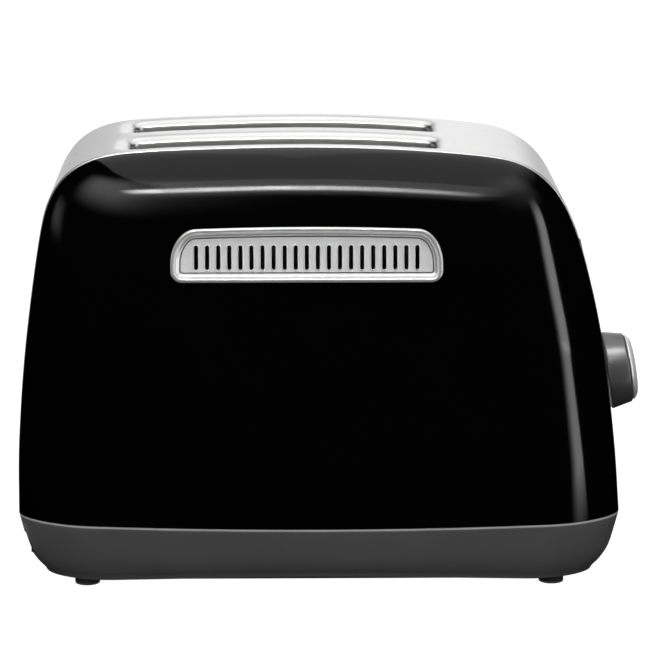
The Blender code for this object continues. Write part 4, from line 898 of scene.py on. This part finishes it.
boardGreen = finish(
    "boardLacquer", mottleGroup,
    {"Light": (0.03, 0.16, 0.07, 1), "Dark": (0.015, 0.09, 0.04, 1), "Scale": 220.0,
     "Smoothest": 0.25, "Roughest": 0.45, "Grain Scale": 2200.0},
    {}, 0.08, 0.00005,
)
ceramic = finish(
    "terminalCeramic", mottleGroup,
    {"Light": (0.72, 0.68, 0.58, 1), "Dark": (0.6, 0.56, 0.46, 1), "Scale": 140.0,
     "Smoothest": 0.35, "Roughest": 0.55, "Grain Scale": 2400.0},
    {}, 0.08, 0.00006,
)
nodeFinish = {
    "black_enamel": enamel, "brushed_steel": bandSteel, "satin_steel": ventSteel, "chrome": ventChrome,
    "charcoal_plastic": basePlastic, "knob_plastic": knobPlastic, "foot_rubber": rubber,
    "plated_steel": platedSteel, "guard_steel": guardSteel, "spring_steel": springSteel, "mica_card": mica,
    "copper_winding": copper, "circuit_board": boardGreen, "terminal_ceramic": ceramic,
}


def paintedRimHighlight(material, start, end, tone):  # a paler tone painted on what is higher than start: a painted highlight line
    tree = material.node_tree
    shader = tree.nodes["Principled BSDF"]
    plain = shader.inputs["Base Color"].links[0].from_socket
    split = addNode(tree, "ShaderNodeSeparateXYZ")
    tree.links.new(addNode(tree, "ShaderNodeTexCoord").outputs["Object"], split.inputs[0])
    rise = addNode(tree, "ShaderNodeMapRange", {"From Min": start, "From Max": end})
    tree.links.new(split.outputs["Z"], rise.inputs["Value"])
    mix = addNode(tree, "ShaderNodeMix", data_type="RGBA")
    tree.links.new(rise.outputs["Result"], mix.inputs["Factor"])
    tree.links.new(plain, mix.inputs[6])
    mix.inputs[7].default_value = tone
    tree.links.new(mix.outputs[2], shader.inputs["Base Color"])


# painted highlight: a paler band of colour along the base's top edge, standing in for the light it catches
rim = {"start": 0.0309, "end": 0.0315, "tone": grey(0.42)}
baseMoulding = basePlastic.copy()
baseMoulding.name = "baseMoulding"
paintedRimHighlight(baseMoulding, rim["start"], rim["end"], rim["tone"])
bevels = {  # softened edges on the solids that stay in view
    "base": 0.001, "foot_1": 0.0008, "foot_2": 0.0008, "foot_3": 0.0008, "foot_4": 0.0008,
    "browning_dial": 0.0005, "cancel_button": 0.0005, "defrost_button": 0.0005, "reheat_button": 0.0005,
    "bagel_button": 0.0005, "crumb_tray": 0.0004, "cord_gland": 0.0006, "near_bread_rack": 0.0004,
    "far_bread_rack": 0.0004,
}
for subpart in frame["record"]["subparts"]:
    node = frame["nodes"][subpart["node"]]
    node.data.materials.clear()
    # the base gets the copy of its plastic with the painted highlight along its top edge
    material = baseMoulding if subpart["node"] == "base" else nodeFinish[subpart["material_slot"]]
    node.data.materials.append(material)
    node.data.polygons.foreach_set("use_smooth", [True] * len(node.data.polygons))
    weld = node.modifiers.new("weld", "WELD")
    weld.merge_threshold = 0.00001
    if subpart["node"] in bevels:
        soften = node.modifiers.new("soften", "BEVEL")
        soften.width, soften.segments, soften.angle_limit = bevels[subpart["node"]], 2, math.radians(50)
    crisp = node.modifiers.new("crisp", "EDGE_SPLIT")
    crisp.split_angle = math.radians(38)
print("finishes made")

makeShell("nearSideShell", -1, "near_shell", enamel)
makeShell("farSideShell", 1, "far_shell", enamel)
makeBand(bandSteel)
makeBezel("nearVentFrame", -1, "near_vent_bezel", ventChrome)
makeBezel("farVentFrame", 1, "far_vent_bezel", ventChrome)
makeGrille("nearVentPlate", -1, "near_vent_grille", ventSteel)
makeGrille("farVentPlate", 1, "far_vent_grille", ventSteel)
makeTurned("liftKnob", knob["profile"], knobPlastic, "knob_plastic", "lift_knob")
makeTurned("liftKnobCap", knob["capProfile"], capSteel, "satin_steel", "lift_knob_cap")
print("outer shells made")

view = {
    "distance": 1.6,
    "tilt": math.radians(12.0),
    "turn": math.radians(0.8),
    "aim": (0.00345, 0.0, 0.1112),
    "lens": 182.6,
    "sensor": 36.0,
}


def makeCamera():
    aim = Vector(view["aim"]) + Vector((bodyX, 0, 0))
    tilt, turn = view["tilt"], view["turn"]
    back = Vector((-math.sin(turn) * math.cos(tilt), -math.cos(turn) * math.cos(tilt), math.sin(tilt)))
    data = bpy.data.cameras.new("photoCamera")
    data.lens, data.sensor_width = view["lens"], view["sensor"]
    camera = bpy.data.objects.new("photoCamera", data)
    camera.location = aim + back * view["distance"]
    camera.rotation_mode = "QUATERNION"
    camera.rotation_quaternion = (-back).to_track_quat("-Z", "Y")
    bpy.context.scene.collection.objects.link(camera)
    bpy.context.scene.camera = camera


studio = {
    "worldLight": 0.55,
    "worldSeen": 1.0,
    "floorReach": 6,
    "floorTone": grey(0.25),
    "floorGlow": 1.0,
    "domeMiddle": 0.1,
    "ceiling": 1.25,
    "cells": 24,
}


def seenDirectly(tree):  # 1 for what the camera or a reflection sees
    path = addNode(tree, "ShaderNodeLightPath")
    seen = addNode(tree, "ShaderNodeMath", operation="MAXIMUM")
    tree.links.new(path.outputs["Is Camera Ray"], seen.inputs[0])
    tree.links.new(path.outputs["Is Glossy Ray"], seen.inputs[1])
    return path, seen.outputs[0]


def makeWorld():
    world = bpy.data.worlds.new("paleStudio")
    world.use_nodes = True
    bpy.context.scene.world = world
    tree = world.node_tree
    background = tree.nodes["Background"]
    background.inputs["Color"].default_value = grey(1.0)
    path, direct = seenDirectly(tree)
    seen = addNode(tree, "ShaderNodeMath", operation="MAXIMUM")
    tree.links.new(direct, seen.inputs[0])
    tree.links.new(path.outputs["Is Transmission Ray"], seen.inputs[1])
    strength = mixValue(tree, seen.outputs[0], studio["worldLight"], studio["worldSeen"])
    tree.links.new(strength, background.inputs["Strength"])


def softbox(name, spot, target, size, power, only=()):  # a lamp for all the pieces, or only for some
    data = bpy.data.lights.new(name, "AREA")
    data.shape, data.size, data.size_y, data.energy = "RECTANGLE", size[0], size[1], power
    lamp = bpy.data.objects.new(name, data)
    lamp.location = spot
    lamp.rotation_mode = "QUATERNION"
    lamp.rotation_quaternion = (Vector(target) - Vector(spot)).to_track_quat("-Z", "Y")
    lamp.visible_glossy = bool(only)
    if only:
        lamp.light_linking.receiver_collection = bpy.data.collections.new(name + "Receivers")
        for piece in only:
            lamp.light_linking.receiver_collection.objects.link(bpy.data.objects[piece])
    bpy.context.scene.collection.objects.link(lamp)


def cardMaterial(name, clear):  # a clear card adds its light to what lies behind it
    material = bpy.data.materials.new(name)
    material.use_nodes = True
    tree = material.node_tree
    tree.nodes.remove(tree.nodes["Principled BSDF"])
    glow = addNode(tree, "ShaderNodeAttribute", attribute_name="glow")
    shine = addNode(tree, "ShaderNodeEmission")
    tree.links.new(glow.outputs["Fac"], shine.inputs["Strength"])
    last = shine
    if clear:
        last = addNode(tree, "ShaderNodeAddShader")
        tree.links.new(shine.outputs[0], last.inputs[0])
        tree.links.new(addNode(tree, "ShaderNodeBsdfTransparent").outputs[0], last.inputs[1])
    tree.links.new(last.outputs[0], tree.nodes["Material Output"].inputs["Surface"])
    return material


def fadeAt(place, soft):  # falls to nothing over the soft share at the start and at the end
    fade = 1.0
    for distance, edge in ((place, soft[0]), (1 - place, soft[1])):
        if edge:
            step = min(1.0, distance / edge)
            fade *= step * step * (3 - 2 * step)
    return fade


def addCard(name, spotAt, strength, soft, material):  # a studio card that only shows in reflections
    points, glow, faces = [], [], []
    count = studio["cells"] + 1
    for down in range(count):
        for across in range(count):
            wide, high = across / (count - 1), down / (count - 1)
            points.append(spotAt(wide, high))
            glow.append(strength * fadeAt(wide, soft[0]) * fadeAt(high, soft[1]))
    for down in range(count - 1):
        for across in range(count - 1):
            corner = down * count + across
            faces.append((corner, corner + 1, corner + count + 1, corner + count))
    mesh = bpy.data.meshes.new(name)
    mesh.from_pydata(points, [], faces)
    mesh.attributes.new("glow", "FLOAT", "POINT").data.foreach_set("value", glow)
    mesh.materials.append(material)
    card = bpy.data.objects.new(name, mesh)
    card.visible_camera = card.visible_diffuse = card.visible_shadow = card.visible_transmission = False
    bpy.context.scene.collection.objects.link(card)


def domeCard(name, azimuths, elevations, radius, strength, soft, material):  # azimuth 0 is the camera
    def spotAt(wide, high):
        turn = math.radians(azimuths[0] + (azimuths[1] - azimuths[0]) * wide)
        lift = math.radians(elevations[0] + (elevations[1] - elevations[0]) * high)
        flat = radius * math.cos(lift)
        return flat * math.sin(turn), -flat * math.cos(turn), studio["domeMiddle"] + radius * math.sin(lift)

    addCard(name, spotAt, strength, soft, material)


def flatCard(name, edges, z, strength, soft, material):  # edges are (y, left x, right x) from back to front
    def spotAt(wide, high):
        y = edges[0][0] + (edges[-1][0] - edges[0][0]) * high
        for (startY, *start), (endY, *end) in zip(edges, edges[1:]):
            if endY - 1e-9 <= y <= startY + 1e-9:
                share = (startY - y) / (startY - endY)
                left, right = (low + (far - low) * share for low, far in zip(start, end))
        return left + (right - left) * wide, y, z

    addCard(name, spotAt, strength, soft, material)


def makeFloor():
    mesh = bpy.data.meshes.new("studioFloor")
    reach = studio["floorReach"]
    corners = [(-reach, -reach, 0), (reach, -reach, 0), (reach, reach, 0), (-reach, reach, 0)]
    mesh.from_pydata(corners, [], [(0, 1, 2, 3)])
    floor = bpy.data.objects.new("studioFloor", mesh)
    bpy.context.scene.collection.objects.link(floor)
    material = bpy.data.materials.new("floorPaper")
    material.use_nodes = True
    tree = material.node_tree
    shader = tree.nodes["Principled BSDF"]
    shader.inputs["Base Color"].default_value = studio["floorTone"]
    shader.inputs["Roughness"].default_value = 0.9
    shader.inputs["Specular IOR Level"].default_value = 0.0
    shader.inputs["Emission Color"].default_value = grey(1.0)
    strength = mixValue(tree, seenDirectly(tree)[1], 0.0, studio["floorGlow"])
    tree.links.new(strength, shader.inputs["Emission Strength"])
    mesh.materials.append(material)


def makeStudio():
    card, glowCard = cardMaterial("studioCard", False), cardMaterial("glowCard", True)
    hard, even, top = (0, 0), ((0, 0), (0, 0)), studio["ceiling"]
    domeCard("darkWrap", (-166, 166), (-6, 89.5), 2.6, 0.0, even, card)
    domeCard("dimBehind", (166, 194), (34, 89.5), 2.6, 0.35, even, card)
    domeCard("greyBehindLeft", (-173, -140), (-4, 34), 2.5, 0.62, ((0, 0.6), hard), card)
    domeCard("greyBehindRight", (146, 169), (-4, 34), 2.5, 0.62, ((0.6, 0), hard), card)
    domeCard("brightBehind", (164, 169.5), (0, 22), 2.4, 0.6, ((0.5, 0.4), (0.3, 0.3)), glowCard)
    flatCard("darkFloor", ((-0.088, -6, 6), (-6, -6, 6)), 0.0008, 0.0, even, card)
    flatCard("darkFloorRight", ((6, 1.5, 6), (-0.088, 0.17, 6)), 0.0008, 0.0, even, card)
    flatCard("darkFloorLeft", ((6, -6, -1.5), (-0.088, -6, -0.17)), 0.0008, 0.0, even, card)
    flatCard("darkUnder", ((0.16, -0.175, 0.7), (-0.088, -0.175, 0.7)), 0.001, 0.0, even, card)
    panel = (
        (1.1, -0.62, 1.3), (0.48, -0.53, 1.25), (-0.36, -0.40, 1.2), (-0.67, -0.30, 1.1), (-0.75, -0.27, 1.0),
    )
    flatCard("overheadPanel", panel, top, 0.95, ((0, 0.4), hard), glowCard)
    front = ((-0.75, -0.27, 1.0), (-1.03, -0.21, 0.85))
    flatCard("overheadFront", front, top, 1.8, ((0.04, 0.6), hard), glowCard)
    edge = ((-0.925, -0.5, 0.46), (-1.08, -0.47, 0.43))
    flatCard("overheadEdge", edge, top, 30.0, ((0.32, 0.55), (0.25, 0.45)), glowCard)
    fall = ((-1.03, -0.7, 0.8), (-1.25, -0.7, 0.8))
    flatCard("overheadFall", fall, top, 1.5, ((0.45, 0.6), (0, 1.0)), glowCard)
    domeCard("stripRight", (52, 64), (-3, 40), 2.2, 4.8, ((0.5, 0.12), (0, 0.4)), glowCard)
    domeCard("glowRight", (20, 86), (28, 68), 2.3, 0.6, ((0.5, 0.4), (0.5, 0.4)), glowCard)
    wedge = (
        (-0.13, 0.163, 0.266), (-0.25, 0.31, 0.5), (-0.5, 0.62, 0.97), (-1.0, 1.25, 1.94), (-2.6, 3.25, 5.0),
    )
    flatCard("stripRightFoot", wedge, 0.0012, 4.0, ((0.5, 0.12), (0.02, 0)), glowCard)
    domeCard("glowLeft", (-78, 0), (26, 62), 2.2, 2.3, ((0.45, 0.4), (0.6, 0.3)), glowCard)
    domeCard("faintLeft", (-104, -70), (2, 28), 2.3, 0.7, ((0.4, 0.4), (0.4, 0.4)), glowCard)
    softbox("topBox", (0, -0.3, 1.6), (0, 0, 0.1), (1.4, 1.2), 12.0)
    softbox("frontFill", (-0.4, -1.9, 0.8), (0, 0, 0.08), (1.6, 1.0), 10.0)
    softbox("sideFill", (1.6, -0.6, 0.8), (0, 0, 0.1), (0.8, 1.0), 4.0)
    softbox("knobLight", (0.2, -0.27, 0.88), (0.145, 0, 0.09), (0.5, 0.14), 3.4, ("liftKnob", "liftKnobCap"))


bpy.context.scene.view_settings.view_transform = "Standard"
makeCamera()
makeWorld()
makeFloor()
makeStudio()
print("studio made")
